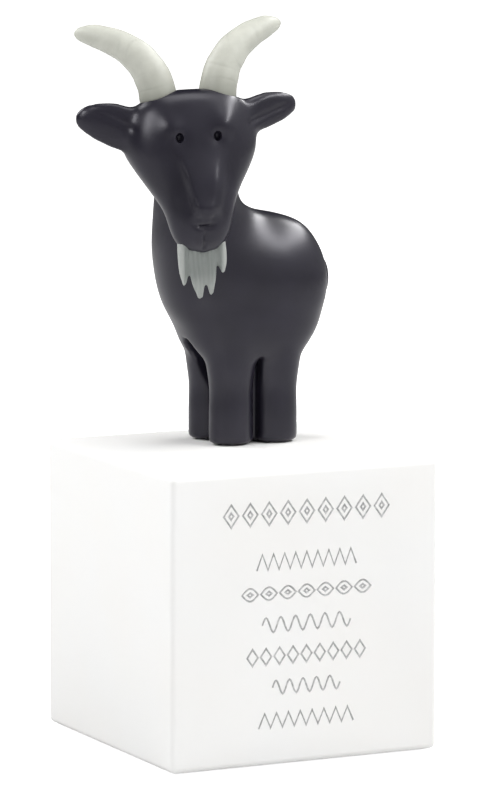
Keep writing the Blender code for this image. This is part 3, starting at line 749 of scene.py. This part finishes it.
def model_face(mesh, pose):
    """Moves the skin of the face along its normal, on the head's own axes in millimetres.

    Each mark is a bell over the face. The nose's bridge is a flat raised wedge that narrows
    downwards, with S-shaped flanks, broader on one side. The mouth is a groove along a
    parabola, and a straight cleft runs from it to the chin.
    """
    points = read_points(mesh)
    normals = read_normals(mesh)
    local = placed(points, pose.inverted()) / MM
    facing = placed(normals, pose.to_3x3().inverted().to_4x4())
    x, y, z = local.T
    front = smooth_step((-facing[:, 1] - 0.2) / 0.4) * smooth_step((4.0 - y) / 4.0)
    move = np.zeros(len(points))
    for place_x, place_z, half_x, half_z, turn, out in FACE_MARKS:
        c, s = math.cos(math.radians(turn)), math.sin(math.radians(turn))
        u = ((x - place_x) * c + (z - place_z) * s) / half_x
        v = (-(x - place_x) * s + (z - place_z) * c) / half_z
        move += out * np.exp(-(u * u + v * v))
    shoulder = np.clip(1.7 + (z + 16.3) * 0.234, 1.5, 4.2)
    flank = np.where(x < 0.0, *BRIDGE_FLANKS)
    bridge = 1.0 - smooth_step((np.abs(x) - shoulder + 0.5) / flank)
    bridge = bridge * smooth_step((BRIDGE_TOP - z) / 8.0) * smooth_step((z - BRIDGE_FOOT) / 3.4)
    arc = MOUTH_HEIGHT + 0.10 * x * x
    mouth = np.exp(-((z - arc) / 0.44) ** 2) * np.exp(-(x / 2.1) ** 4)
    cleft = np.exp(-(x / 0.42) ** 2)
    cleft = cleft * smooth_step((CLEFT_TOP - z) / 0.8) * smooth_step((z - CLEFT_FOOT) / 0.8)
    move += BRIDGE_RISE * bridge - MOUTH_DEPTH * mouth - CLEFT_DEPTH * cleft
    write_points(mesh, points + normals * (move * front * MM)[:, None])


def model_ears(mesh, pose):
    """Moves the skin of the ears' front along its normal.

    The hollow is an S-shaped bowl over an ellipse, and the fold a bell across a slanting
    line, with a second bell under it that raises a lip.
    """
    points = read_points(mesh)
    normals = read_normals(mesh)
    local = placed(points, pose.inverted())
    facing = placed(normals, pose.to_3x3().inverted().to_4x4())
    move = np.zeros(len(points))
    for (side, ear_height, drop, _), shape in zip(EARS, EAR_FOLDS):
        hollow, start, low, slope, deep, lip = shape
        reach = local[:, 0] * side / EAR_REACH
        rise = (local[:, 2] + drop) / ear_height
        front = smooth_step((-facing[:, 1] - 0.1) / 0.4)
        u = (reach - 0.72) / 0.22
        v = (rise - 0.12 - 0.35 * (reach - 0.72)) / 0.34
        bowl = smooth_step(1.0 - u * u - v * v)
        above = rise - low - slope * (reach - start)
        along = smooth_step((reach - start + 0.02) / 0.06) * smooth_step((0.97 - reach) / 0.15)
        fold = np.exp(-(above / 0.07) ** 2) * along
        under = np.exp(-((above + 0.17) / 0.10) ** 2) * along
        move += front * (lip * under - hollow * bowl - deep * fold) * MM
    write_points(mesh, points + normals * move[:, None])


def body_shares(points, pose):
    """How much each point relaxes: fully on the trunk, less on ears and feet."""
    local = placed(points, pose.inverted())
    ear = smooth_step((np.abs(local[:, 0]) / EAR_REACH - 0.55) / 0.15)
    ear = ear * (local[:, 2] > -HEAD_HEIGHT / 3.0)
    above = points[:, 2] - stand_matrix().translation.z
    foot = 1.0 - smooth_step((above - 6.0 * MM) / (5.0 * MM))
    return 0.5 * (1.0 - 0.75 * ear) * (1.0 - 0.92 * foot)


def leg_cutters():
    """Slits between the fore and hind legs of both sides, and the arch from end to end."""
    reach = LEG_PITCH_LENGTH + LEG_HALF_LENGTH
    side_gap = LEG_PITCH_LENGTH / 2.0 - LEG_HALF_LENGTH
    end_gap = LEG_PITCH_WIDTH / 2.0 - LEG_HALF_WIDTH
    low_half, wide_half = (side_gap * widening for widening in SLIT_WIDENING)
    cutters = []
    for way in (1.0, -1.0):
        slit = vault("side_vault", 1, low_half, wide_half, SLIT_SPRING, SLIT_CROWN, reach / 2.0)
        middle = way * (reach / 2.0 + end_gap + LEG_WEB)
        slit.data.transform(Matrix.Translation((0.0, middle, 0.0)))
        cutters.append(slit)
    cutters.append(vault("end_vault", 0, end_gap, ARCH_HALF_WIDTH, ARCH_SPRING, ARCH_CROWN, reach))
    return cutters


def head_cutters(sizes, pose):
    """Balls that drill the eyes, and cylinders that sink the horns' seats."""
    dark_fill = eye_dark_fill()
    cutters = []
    for side in (1.0, -1.0):
        place = Matrix.Translation((side * EYE_SPREAD, -EYE_FORWARD, -EYE_DROP))
        radii = (sizes.eye_width / 2.0, sizes.eye_depth, sizes.eye_height / 2.0)
        eye = ball("eye_dent", pose @ place, radii)
        eye.data.materials.append(dark_fill)
        cutters.append(eye)
    for side in (1.0, -1.0):
        axis, foot = horn_foot(horn_path(side, 4)[0])
        ring = tube_grid(np.stack((foot, foot + axis * HORN_RADIUS * 3.0)),
                         np.full(2, HORN_RADIUS + HORN_SEAM), 48)
        points, faces = joined([ring])
        cutters.append(make_piece("horn_seat", placed(points, pose), faces))
    return cutters


def build_body(sizes, looks):
    """Body casting: overlapping lofts joined to one skin, parted, modelled and drilled."""
    stand = stand_matrix()
    pose = head_matrix()
    half_x = LEG_PITCH_LENGTH / 2.0
    half_y = LEG_PITCH_WIDTH / 2.0
    grids = [trunk_grid(96), haunch_grid(96)]
    grids += [leg_grid(x, y, 64) for x in (-half_x, half_x) for y in (-half_y, half_y)]
    grids += [web_grid(side) for side in (1.0, -1.0)]
    head = [head_grid(96)] + [ear_grid(*ear, 64) for ear in EARS]
    grids = [placed(grid.reshape(-1, 3), matrix).reshape(grid.shape)
             for matrix, lofts in ((stand, grids), (pose, head)) for grid in lofts]
    body = make_piece("goat_cast_body", *joined(grids))
    one_skin(body, FIRST_SKIN)
    relax(body.data, body_shares(read_points(body.data), pose), 34)
    cut(body, leg_cutters())
    one_skin(body, FINE_SKIN)
    relax(body.data, 0.5, 5)
    model_face(body.data, pose)
    model_ears(body.data, pose)
    relax(body.data, 0.4, 2)
    body.data.materials.append(charcoal_resin(looks))
    cut(body, head_cutters(sizes, pose))
    body.data.shade_smooth()
    body.data.set_sharp_from_angle(angle=BODY_SHARP_ANGLE)
    return body


# ------------------------------------------------------------------------------ horns

def horn_path(side, steps):
    """Centres and radii along a horn, on the head's axes."""
    spread, rise, sweep, girth = eased(HORN_RIBS, steps).T
    x = HORN_ROOT_OFFSET + spread * (HORN_SPREAD - HORN_ROOT_OFFSET)
    z = HORN_ROOT_RISE + rise * HORN_RISE
    y = HORN_ROOT_BACK + sweep * HORN_SWEEP
    return np.stack((side * x, y, z), 1), girth * HORN_RADIUS


def horn_foot(path):
    """Direction of a horn's root and the middle of its foot, sunk in the crown."""
    step = max(len(path) // 12, 1)
    axis = path[step] - path[0]
    axis = axis / np.linalg.norm(axis)
    return axis, path[0] - axis * HORN_SEAT_DEPTH


def tube_grid(path, radius, sides):
    """Round rings square to the path, turned as little as possible from one to the next.

    A ring is the centre plus radius times cosine and sine along two directions square to
    the path, the first of which stays square to the plane that the path bends in.
    """
    ahead = np.gradient(path, axis=0)
    ahead = ahead / np.linalg.norm(ahead, axis=1, keepdims=True)
    bend = np.cross(path[-1] - path[0], path[len(path) // 2] - path[0])
    if np.linalg.norm(bend) < 1e-12:
        bend = np.cross(ahead[0], (0.0, 1.0, 0.3))
    bend = bend / np.linalg.norm(bend)
    first = bend - ahead * (ahead @ bend)[:, None]
    first = first / np.linalg.norm(first, axis=1, keepdims=True)
    second = np.cross(ahead, first)
    angle = 2.0 * np.pi * np.arange(sides) / sides
    radius = np.broadcast_to(np.asarray(radius, float).reshape(len(path), -1),
                             (len(path), sides))
    return (path[:, None, :] + first[:, None, :] * (radius * np.cos(angle))[..., None]
            + second[:, None, :] * (radius * np.sin(angle))[..., None])


def build_horn(name, side, sizes, material):
    """One horn: a tapering tube with slanting growth lines pressed into it.

    The radius loses a bell for each line, whose place shifts with the cosine of the angle
    round the horn, and swells and shrinks a little between the lines. The wash is darkest
    in the lines, and at the root fades as a bell along the horn.
    """
    sides = 96
    path, girth = horn_path(side, 14)
    _, foot = horn_foot(path)
    path = np.vstack((foot, path))
    girth = np.concatenate(([HORN_RADIUS], girth))
    length = np.concatenate(([0.0], np.cumsum(np.linalg.norm(np.diff(path, axis=0), axis=1))))
    along = (length / length[-1])[:, None]
    angle = (2.0 * np.pi * np.arange(sides) / sides)[None, :]
    radius = girth[:, None] * np.ones(sides)
    dark = np.zeros_like(radius)
    deepest = max(depth for _, _, depth, _ in HORN_LINES)
    for index, (place, slant, depth, half) in enumerate(HORN_LINES):
        shift = slant * np.cos(angle + index * 1.3)
        distance = (along - place - shift) * length[-1] / (half * MM)
        strength = 0.55 + 0.45 * np.cos(angle * 2.0 + index * 2.1)
        groove = np.exp(-distance ** 2) * strength
        radius -= groove * depth * sizes.horn_line_depth * girth[:, None] / HORN_RADIUS
        dark += groove * 0.25 * depth / deepest
    swell = 1.0 + 0.012 * np.sin(along * 31.0 + np.cos(angle) * 1.5)
    points, faces = joined([tube_grid(path, radius * swell, sides)])
    horn = make_piece(name, placed(points, head_matrix()), faces)
    root = np.exp(-(along / 0.20) ** 2) * 0.80
    set_attribute(horn.data, "wash_and_shade", np.clip(dark + root, 0.0, 1.0).ravel())
    horn.data.materials.append(material)
    return horn


# ------------------------------------------------------------------------------ beard

def strand_grid(root, tip, length, width):
    """A pointed strand of the beard: an oval ring at each step of the drop.

    Width and thickness fall off as the root of one less the drop to the power of the taper.
    """
    t = np.linspace(0.0, 1.0, 25)
    taper = np.sqrt(np.maximum(1.0 - t ** BEARD_TAPER, 0.0004))
    half_width = np.maximum(width * BEARD_WIDTH / 2.0 * taper * 1.15, 0.06 * MM)
    half_thick = np.maximum(BEARD_THICKNESS / 2.0 * taper * (1.0 - 0.35 * t), 0.05 * MM)
    x = (root + (tip - root) * t) * BEARD_WIDTH
    z = -t * length * BEARD_LENGTH
    upper = np.stack((x, half_thick, z), 1)
    lower = np.stack((x, -half_thick, z), 1)
    return oval_grid(upper, lower, (1, 0, 0), half_width, 2.0, 48)


def build_beard(sizes, looks):
    """Beard: joined strands, each with bell-shaped grooves along it, fading in at the top."""
    place = head_matrix() @ Matrix.Translation((0.0, -BEARD_FORWARD, -BEARD_TOP_DROP))
    points, faces = joined([strand_grid(*strand) for strand in BEARD_STRANDS])
    beard = make_piece("goat_beard", placed(points, place), faces)
    one_skin(beard, BEARD_SKIN)
    relax(beard.data, 0.5, 6)
    points = read_points(beard.data)
    scale = np.array((BEARD_WIDTH, BEARD_THICKNESS, BEARD_LENGTH))
    x, _, z = (placed(points, place.inverted()) / scale).T
    sunk = np.zeros(len(points))
    for root, tip, length, width in BEARD_STRANDS:
        line = root + (tip - root) * np.clip(-z / length, 0.0, 1.0)
        for share, deep in STRAND_GROOVES:
            distance = (x - line - share * width * 0.8) * BEARD_WIDTH / (0.28 * MM)
            sunk += deep * np.exp(-distance ** 2)
    fade = smooth_step((-z - 0.02) / 0.2) * sizes.beard_groove_depth
    write_points(beard.data, points - read_normals(beard.data) * (sunk * fade)[:, None])
    relax(beard.data, 0.3, 1)
    # Painted shade: the beard is darker in its middle, as if shadowed by the chin, and lighter towards
    # its edges and tips; a little darker still in its grooves.
    low = np.clip(sunk, 0.0, 1.0) * 0.12
    edge = smooth_step((np.abs(x) - 0.36) / 0.08) * 0.6
    tips = smooth_step((-z - 0.5) / 0.3) * 0.35
    set_attribute(beard.data, "wash_and_shade", np.clip(0.75 + low - edge - tips, 0.0, 1.0))
    beard.data.materials.append(washed_and_shaded_resin(
        "shaded_grey_resin", looks.beard_colour[:], looks.beard_shade[:], 0.5))
    return beard


# ------------------------------------------------------------------------------- tail

def build_tail():
    """Tail: a flattened egg, with a blunt tip below and a ridge down its back.

    Ring heights follow a cosine from pole to pole; widths follow the sine, narrowed
    towards the tip; the outer side is raised along the middle.
    """
    rings, sides = 60, 72
    turn = np.clip(np.linspace(0.0, np.pi, rings), 0.02, np.pi - 0.02)[:, None]
    angle = (2.0 * np.pi * np.arange(sides) / sides)[None, :]
    narrow = 0.86 + 0.14 * np.cos(turn)
    width = np.sin(turn) * narrow * TAIL_WIDTH / 2.0
    thick = np.sin(turn) * TAIL_THICKNESS / 2.0
    ridge = 1.0 - 0.10 * np.abs(np.sin(angle)) ** 0.7 * (np.cos(angle) > 0.0)
    grid = np.stack((thick * np.cos(angle) * ridge, width * np.sin(angle),
                     np.cos(turn) * TAIL_LENGTH / 2.0 * np.ones_like(angle)), -1)
    rump = TRUNK_RIBS[0][0] * TRUNK_LENGTH
    x = rump + TAIL_PROUD - TAIL_THICKNESS / 2.0
    place = stand_matrix() @ Matrix.Translation((x, 0.0, TAIL_HEIGHT))
    place = place @ Matrix.Rotation(-TAIL_LEAN, 4, "Y")
    points, faces = joined([grid])
    tail = make_piece("goat_tail", placed(points, place), faces)
    tail.data.materials.append(bpy.data.materials["satin_charcoal_resin"])
    return tail


# ----------------------------------------------------------------------------- plinth

def lozenge(width, height):
    """Closed four-cornered ring."""
    return np.array(((-width / 2, 0), (0, height / 2), (width / 2, 0), (0, -height / 2))), True


def leaf(width, height, steps=10):
    """Closed ring of two bows: height follows half a sine wave along the width."""
    t = np.linspace(0.0, 1.0, steps)
    x = (t - 0.5) * width
    up = np.sin(np.pi * t) * height / 2.0
    return np.concatenate((np.stack((x, up), 1), np.stack((x, -up), 1)[-2:0:-1])), True


def zigzag(width, height, teeth):
    """Open line that goes up and down by teeth."""
    x = np.linspace(-width / 2.0, width / 2.0, 2 * teeth + 1)
    y = np.where(np.arange(2 * teeth + 1) % 2 == 0, -height / 2.0, height / 2.0)
    return np.stack((x, y), 1), False


def wave(width, height, turns):
    """Open line that follows a sine wave."""
    x = np.linspace(-width / 2.0, width / 2.0, turns * 12 + 1)
    return np.stack((x, np.sin(2.0 * np.pi * turns * (x / width + 0.5)) * height / 2.0), 1), False


def in_a_row(shape, count, pitch):
    """The same motif side by side, centred."""
    outline, closed = shape
    return [(outline + np.array(((i - (count - 1) / 2.0) * pitch, 0.0)), closed)
            for i in range(count)]


def ornament_rows():
    """Seven rows of line ornament: height of the row's middle, and its outlines, in mm."""
    return (
        (51.8, in_a_row(lozenge(3.3, 4.6), 9, 4.23) + in_a_row(lozenge(1.0, 1.4), 9, 4.23)),
        (42.0, [zigzag(22.4, 3.2, 9)]),
        (35.6, in_a_row(leaf(3.6, 2.6), 7, 4.23) + in_a_row(lozenge(1.2, 0.9), 7, 4.23)),
        (29.2, [wave(19.9, 3.0, 6)]),
        (22.8, in_a_row(lozenge(2.4, 3.4), 9, 3.03)),
        (16.4, [wave(15.2, 2.8, 5)]),
        (9.7, [zigzag(21.4, 3.0, 8)]),
    )


def groove_grid(outline, closed, width, depth, top):
    """Rings of a closed solid along a line, in the face's plane.

    Each corner of the line gets a triangle: one point depth behind the face, and two in
    front of it at top, half the width to either side along the mitre of the two runs.
    """
    points = outline * MM
    if closed:
        before = points - np.roll(points, 1, 0)
        after = np.roll(points, -1, 0) - points
    else:
        step = np.diff(points, axis=0)
        before = np.vstack((step[:1], step))
        after = np.vstack((step, step[-1:]))
    before = before / np.linalg.norm(before, axis=1, keepdims=True)
    after = after / np.linalg.norm(after, axis=1, keepdims=True)
    mean = before + after
    mean = mean / np.linalg.norm(mean, axis=1, keepdims=True)
    side = np.stack((-mean[:, 1], mean[:, 0]), 1)
    stretch = np.minimum(1.0 / np.maximum((mean * after).sum(1), 0.35), 1.8)[:, None]
    left = points + side * width / 2.0 * stretch
    right = points - side * width / 2.0 * stretch
    return np.stack((
        np.stack((points[:, 0], np.full(len(points), depth), points[:, 1]), 1),
        np.stack((right[:, 0], np.full(len(points), -top), right[:, 1]), 1),
        np.stack((left[:, 0], np.full(len(points), -top), left[:, 1]), 1),
    ), 1)


def groove_cutter(sizes, front, middle):
    """One cutter with a V-shaped solid for every line of the ornament."""
    points, faces, start = [], [], 0
    slope = sizes.engraving_width / sizes.engraving_depth
    above = 0.1 * MM
    for height, shapes in ornament_rows():
        for outline, closed in shapes:
            width = sizes.engraving_width + slope * above
            ring = groove_grid(outline, closed, width, sizes.engraving_depth, above)
            ring = ring + np.array((middle, front, height * MM))
            count = len(ring)
            points.append(ring.reshape(-1, 3))
            runs = count if closed else count - 1
            for run in range(runs):
                a, b = start + run * 3, start + (run + 1) % count * 3
                faces += [(a + k, a + (k + 1) % 3, b + (k + 1) % 3, b + k) for k in range(3)]
            if not closed:
                end = start + (count - 1) * 3
                faces += [(start + 2, start + 1, start), (end, end + 1, end + 2)]
            start += count * 3
    return make_piece("ornament_cutter", np.vstack(points), faces, smooth=False)


def box(name, low, high):
    """Plain box: each corner takes the low or the high value along every axis."""
    corners = np.array([(x, y, z) for x in (0, 1) for y in (0, 1) for z in (0, 1)])
    points = np.array(low) + corners * (np.array(high) - np.array(low))
    faces = [(0, 1, 3, 2), (4, 6, 7, 5), (0, 4, 5, 1), (2, 3, 7, 6), (0, 2, 6, 4), (1, 5, 7, 3)]
    return make_piece(name, points, faces, smooth=False)


def build_plinth(sizes, looks):
    """Plinth: a block with rounded edges, the felt's recess and the engraved ornament."""
    low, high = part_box("plinth_block")
    block = box("engraved_plinth", low, high)
    edges = block.modifiers.new("edges", "BEVEL")
    edges.width = sizes.plinth_edge
    edges.segments = 6
    settle_modifiers(block)
    felt_low, felt_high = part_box("base_felt")
    room = Vector((GAP, GAP, 0.0))
    recess = box("felt_recess", felt_low - room, felt_high + room + Vector((0.0, 0.0, GAP)))
    lines = groove_cutter(sizes, low.y, (low.x + high.x) / 2.0)
    white, grey = white_resin(looks), engraving_shade(looks)
    for piece in (block, lines, recess):
        piece.data.materials.append(white)
        piece.data.materials.append(grey)
    # The cutter's faces give the engraved lines the grey of painted shade.
    lines.data.polygons.foreach_set("material_index", np.ones(len(lines.data.polygons), np.int32))
    cut(block, [lines, recess])
    block.data.shade_smooth()
    block.data.set_sharp_from_angle(angle=PLINTH_SHARP_ANGLE)
    return block


def build_felt(looks):
    """Felt pad: a flat slab whose faces rise and fall a little, with a rounded edge.

    A point of the square grid keeps its place and its height is half the thickness times
    a rounded fall-off at the edge, less a slight dimpling made of two crossing waves.
    """
    low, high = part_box("base_felt")
    count = 91
    u = np.linspace(-1.0, 1.0, count)
    x, y = np.meshgrid(u, u, indexing="ij")
    half = (high - low) / 2.0
    middle = (high + low) / 2.0
    edge = np.maximum(np.abs(x), np.abs(y))
    fall = np.sqrt(np.clip(1.0 - np.clip((edge - 0.975) / 0.025, 0.0, 1.0) ** 2, 0.0, 1.0))
    dimple = 1.0 - 0.03 * (1.0 + np.sin(x * 61.0 + y * 23.0) * np.sin(y * 53.0 - x * 17.0))
    rise = half.z * (0.35 + 0.65 * fall) * dimple
    upper = np.stack((x * half.x, y * half.y, rise), -1).reshape(-1, 3)
    lower = np.stack((x * half.x, y * half.y, -rise), -1).reshape(-1, 3)
    index = np.arange(count * count).reshape(count, count)
    quads = np.stack((index[:-1, :-1], index[1:, :-1], index[1:, 1:], index[:-1, 1:]), -1)
    quads = quads.reshape(-1, 4)
    rim = np.concatenate((index[:-1, 0], index[-1, :-1], index[:0:-1, -1], index[0, :0:-1]))
    after = np.roll(rim, -1)
    step = count * count
    sides = np.stack((rim, rim + step, after + step, after), -1)
    faces = np.vstack((quads, quads[:, ::-1] + step, sides)).tolist()
    points = np.vstack((upper, lower)) + np.array(middle)
    pad = make_piece("felt_pad", points, faces)
    pad.data.materials.append(wool_felt(looks))
    return pad


# ------------------------------------------------------------------------- properties

def length_property(name, description, value):
    """Property for a length in metres."""
    return FloatProperty(name=name, description=description, default=value, min=0.0,
                         unit="LENGTH")


def colour_property(name, description, code):
    """Property for a colour given as an sRGB hex code."""
    return FloatVectorProperty(name=name, description=description, default=from_hex(code),
                               size=3, subtype="COLOR")


class GoatSizes(bpy.types.PropertyGroup):
    """Sizes of the fine details."""

    eye_width: length_property("Eye Width", "Width of an eye's dent", 1.7 * MM)
    eye_height: length_property("Eye Height", "Height of an eye's dent", 2.1 * MM)
    eye_depth: length_property("Eye Depth", "Depth of an eye's dent", 1.3 * MM)
    horn_line_depth: length_property("Horn Line Depth", "Depth of a growth line of depth 1", 1.0 * MM)
    beard_groove_depth: length_property("Beard Groove Depth", "Depth of the beard's grooves", 0.22 * MM)
    plinth_edge: length_property("Plinth Edge", "Radius of the plinth's edges", 1.3 * MM)
    engraving_width: length_property("Engraving Width", "Width of an engraved line", 0.42 * MM)
    engraving_depth: length_property("Engraving Depth", "Depth of an engraved line", 0.3 * MM)


class GoatLooks(bpy.types.PropertyGroup):
    """Colours and gloss of the finishes."""

    resin_colour: colour_property("Resin", "Charcoal lacquer", "1d1b25")
    resin_roughness: FloatProperty(name="Resin Roughness", description="Satin of the lacquer",
                                   default=0.30, min=0.0, max=1.0, subtype="FACTOR")
    horn_colour: colour_property("Horn", "Pale grey paint", "c4c5bb")
    horn_wash: colour_property("Horn Wash", "Wash in the low places", "818278")
    beard_colour: colour_property("Beard", "Pale grey paint of the beard", "b4b7b4")
    # The beard's darker colour is painted shade, darkest in its middle under the chin.
    beard_shade: colour_property("Beard Wash", "Wash between the strands", "6c726f")
    plinth_colour: colour_property("Plinth", "Matt white", "f2f2f1")
    # Grey of the engraved lines: painted shade for their V-grooves.
    engraving_shade_colour: colour_property("Engraving", "Paint in the lines", "c0c0c0")
    felt_colour: colour_property("Felt", "Felt under the plinth", "dedcd8")
    steel_colour: colour_property("Steel", "Drawn steel of the pins", "b9bbbf")


class GoatStage(bpy.types.PropertyGroup):
    """Floor, camera and lights."""

    camera_azimuth: FloatProperty(name="Camera Azimuth", description="Turn round the goat",
                                  default=math.radians(-26.395), subtype="ANGLE")
    camera_elevation: FloatProperty(name="Camera Elevation", description="Angle above level",
                                    default=math.radians(7.843), subtype="ANGLE")
    camera_distance: length_property("Camera Distance", "Distance to the goat", 1.0389)
    light_power: FloatProperty(name="Light Power", description="Power that the boxes share",
                               default=1.0, min=0.0, unit="POWER")
    floor_colour: colour_property("Floor", "Paper of the floor", "d6d6d6")


# -------------------------------------------------------------------------- operators

class GOAT_OT_body(bpy.types.Operator):
    """Build the charcoal body casting"""

    bl_idname = "goat.body"
    bl_label = "Body"

    def execute(self, context):
        body = build_body(context.scene.goat_sizes, context.scene.goat_looks)
        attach(body, "root")
        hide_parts("goat_body")
        return {"FINISHED"}


class GOAT_OT_horns(bpy.types.Operator):
    """Build both horns"""

    bl_idname = "goat.horns"
    bl_label = "Horns"

    def execute(self, context):
        sizes = context.scene.goat_sizes
        looks = context.scene.goat_looks
        paint = washed_and_shaded_resin("washed_horn_resin", looks.horn_colour[:], looks.horn_wash[:], 0.46)
        for name, side in (("left", 1.0), ("right", -1.0)):
            horn = build_horn(f"goat_{name}_horn", side, sizes, paint)
            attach(horn, "root")
            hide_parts(f"{name}_horn")
        return {"FINISHED"}


class GOAT_OT_beard(bpy.types.Operator):
    """Build the beard"""

    bl_idname = "goat.beard"
    bl_label = "Beard"

    def execute(self, context):
        beard = build_beard(context.scene.goat_sizes, context.scene.goat_looks)
        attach(beard, "root")
        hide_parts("beard")
        return {"FINISHED"}


class GOAT_OT_tail(bpy.types.Operator):
    """Build the tail"""

    bl_idname = "goat.tail"
    bl_label = "Tail"

    def execute(self, context):
        tail = build_tail()
        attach(tail, "root")
        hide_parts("tail")
        return {"FINISHED"}


class GOAT_OT_plinth(bpy.types.Operator):
    """Build the engraved plinth"""

    bl_idname = "goat.plinth"
    bl_label = "Plinth"

    def execute(self, context):
        plinth = build_plinth(context.scene.goat_sizes, context.scene.goat_looks)
        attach(plinth, "root")
        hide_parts("plinth_block")
        return {"FINISHED"}


class GOAT_OT_base(bpy.types.Operator):
    """Build the felt pad and finish the steel pins"""

    bl_idname = "goat.base"
    bl_label = "Felt and Pins"

    def execute(self, context):
        looks = context.scene.goat_looks
        pad = build_felt(looks)
        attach(pad, "root")
        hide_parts("base_felt")
        steel = drawn_steel(looks)
        for name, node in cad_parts.items():
            if name.startswith("foot_pin"):
                node.data.materials.clear()
                node.data.materials.append(steel)
        return {"FINISHED"}


def away_from(azimuth, elevation):
    """Unit vector out to a place given by its azimuth from -Y and its elevation."""
    level = math.cos(elevation)
    return Vector((math.sin(azimuth) * level, -math.cos(azimuth) * level, math.sin(elevation)))


def soft_box(name, azimuth, elevation, size, power):
    """Rectangular area light that faces the figurine."""
    away = away_from(math.radians(azimuth), math.radians(elevation))
    data = bpy.data.lights.new(name, "AREA")
    data.shape = "RECTANGLE"
    data.size, data.size_y = size
    data.energy = power
    lamp = bpy.data.objects.new(name, data)
    lamp.location = Vector(SOFT_BOX_TARGET) + away * SOFT_BOX_DISTANCE
    lamp.rotation_mode = "QUATERNION"
    lamp.rotation_quaternion = away.to_track_quat("Z", "Y")
    bpy.context.scene.collection.objects.link(lamp)


class GOAT_OT_stage(bpy.types.Operator):
    """Set up the floor, the soft light and the camera"""

    bl_idname = "goat.stage"
    bl_label = "Stage"

    def execute(self, context):
        scene = context.scene
        stage = scene.goat_stage
        scene.view_settings.view_transform = "Standard"
        self.make_floor(stage)
        self.make_world(scene)
        for name, azimuth, elevation, size, share in SOFT_BOXES:
            soft_box(name, azimuth, elevation, size, share * stage.light_power)
        self.make_camera(scene, stage)
        return {"FINISHED"}

    def make_floor(self, stage):
        """Large disc of pale paper that glows for camera rays, so that it shows white."""
        sides = 96
        angle = 2.0 * np.pi * np.arange(sides) / sides
        rim = np.stack((np.cos(angle), np.sin(angle), np.zeros(sides)), 1) * FLOOR_RADIUS
        floor = make_piece("paper_floor", rim, [list(range(sides))], smooth=False)
        material, tree, shader = new_material("floor_paper", 0.9)
        base = stage.floor_colour
        mottle(tree, shader, noise(tree, 1.0 * MM, 3.0), 0.3, 0.7,
               [c * 0.985 for c in base], base[:])
        shader.inputs["Specular IOR Level"].default_value = 0.1
        shader.inputs["Emission Color"].default_value = (1.0, 1.0, 1.0, 1.0)
        seen = add_node(tree, "ShaderNodeLightPath").outputs["Is Camera Ray"]
        tree.links.new(remap(tree, seen, 0.0, 1.0, 0.0, 0.95), shader.inputs["Emission Strength"])
        floor.data.materials.append(material)

    def make_world(self, scene):
        """Dim studio with soft glows, the sum of a ramp of the angle to each of them."""
        world = bpy.data.worlds.new("soft_studio")
        world.use_nodes = True
        scene.world = world
        tree = world.node_tree
        tree.nodes.clear()
        place = add_node(tree, "ShaderNodeTexCoord")
        glow = STUDIO_DIM
        for direction, strength in STUDIO_GLOWS:
            towards = add_node(tree, "ShaderNodeVectorMath", {"operation": "DOT_PRODUCT"}, {
                0: place.outputs["Generated"], 1: direction})
            lobe = remap(tree, towards.outputs["Value"], 0.2, 1.0, 0.0, strength)
            glow = add_node(tree, "ShaderNodeMath", {"operation": "ADD"},
                            {0: lobe, 1: glow}).outputs[0]
        seen = add_node(tree, "ShaderNodeLightPath").outputs["Is Camera Ray"]
        strength = add_node(tree, "ShaderNodeMix", {"data_type": "FLOAT"}, {
            0: seen, 2: glow, 3: STUDIO_WHITE})
        shade = add_node(tree, "ShaderNodeBackground", None, {
            "Color": (1.0, 1.0, 1.0, 1.0), "Strength": strength.outputs[0]})
        add_node(tree, "ShaderNodeOutputWorld", None, {"Surface": shade.outputs[0]})

    def make_camera(self, scene, stage):
        """Long lens, a little above the goat and turned towards its chest."""
        back = away_from(stage.camera_azimuth, stage.camera_elevation)
        data = bpy.data.cameras.new("camera")
        data.lens = CAMERA_LENS
        data.sensor_width = CAMERA_FILM
        data.clip_start = 0.01
        camera = bpy.data.objects.new("camera", data)
        camera.location = Vector(CAMERA_TARGET) + back * stage.camera_distance
        camera.rotation_mode = "QUATERNION"
        turn = back.to_track_quat("Z", "Y").to_matrix().to_4x4()
        roll = Matrix.Rotation(CAMERA_ROLL, 4, "Z")
        camera.rotation_quaternion = (turn @ roll).to_quaternion()
        scene.collection.objects.link(camera)
        scene.camera = camera


class GOAT_PT_panel(bpy.types.Panel):
    """Sidebar panel that lists the steps and their settings"""

    bl_idname = "GOAT_PT_panel"
    bl_label = "Resin Goat"
    bl_space_type = "VIEW_3D"
    bl_region_type = "UI"
    bl_category = "Goat"

    def draw(self, context):
        for operator in OPERATORS:
            self.layout.operator(operator.bl_idname)
        for group in (context.scene.goat_sizes, context.scene.goat_looks,
                      context.scene.goat_stage):
            box = self.layout.box()
            for name in group.__annotations__:
                box.prop(group, name)


OPERATORS = (GOAT_OT_body, GOAT_OT_horns, GOAT_OT_beard, GOAT_OT_tail, GOAT_OT_plinth,
             GOAT_OT_base, GOAT_OT_stage)
GROUPS = (("goat_sizes", GoatSizes), ("goat_looks", GoatLooks), ("goat_stage", GoatStage))


def register():
    """Makes the properties, the steps and the panel known."""
    for name, group in GROUPS:
        bpy.utils.register_class(group)
        setattr(bpy.types.Scene, name, PointerProperty(type=group))
    for operator in OPERATORS:
        bpy.utils.register_class(operator)
    bpy.utils.register_class(GOAT_PT_panel)


def unregister():
    """Takes them away again, last first."""
    bpy.utils.unregister_class(GOAT_PT_panel)
    for operator in reversed(OPERATORS):
        bpy.utils.unregister_class(operator)
    for name, group in reversed(GROUPS):
        delattr(bpy.types.Scene, name)
        bpy.utils.unregister_class(group)


def main():
    """Builds every piece and the stage."""
    register()
    bpy.ops.goat.body()
    bpy.ops.goat.horns()
    bpy.ops.goat.beard()
    bpy.ops.goat.tail()
    bpy.ops.goat.plinth()
    bpy.ops.goat.base()
    bpy.ops.goat.stage()


if __name__ == "__main__":
    main()
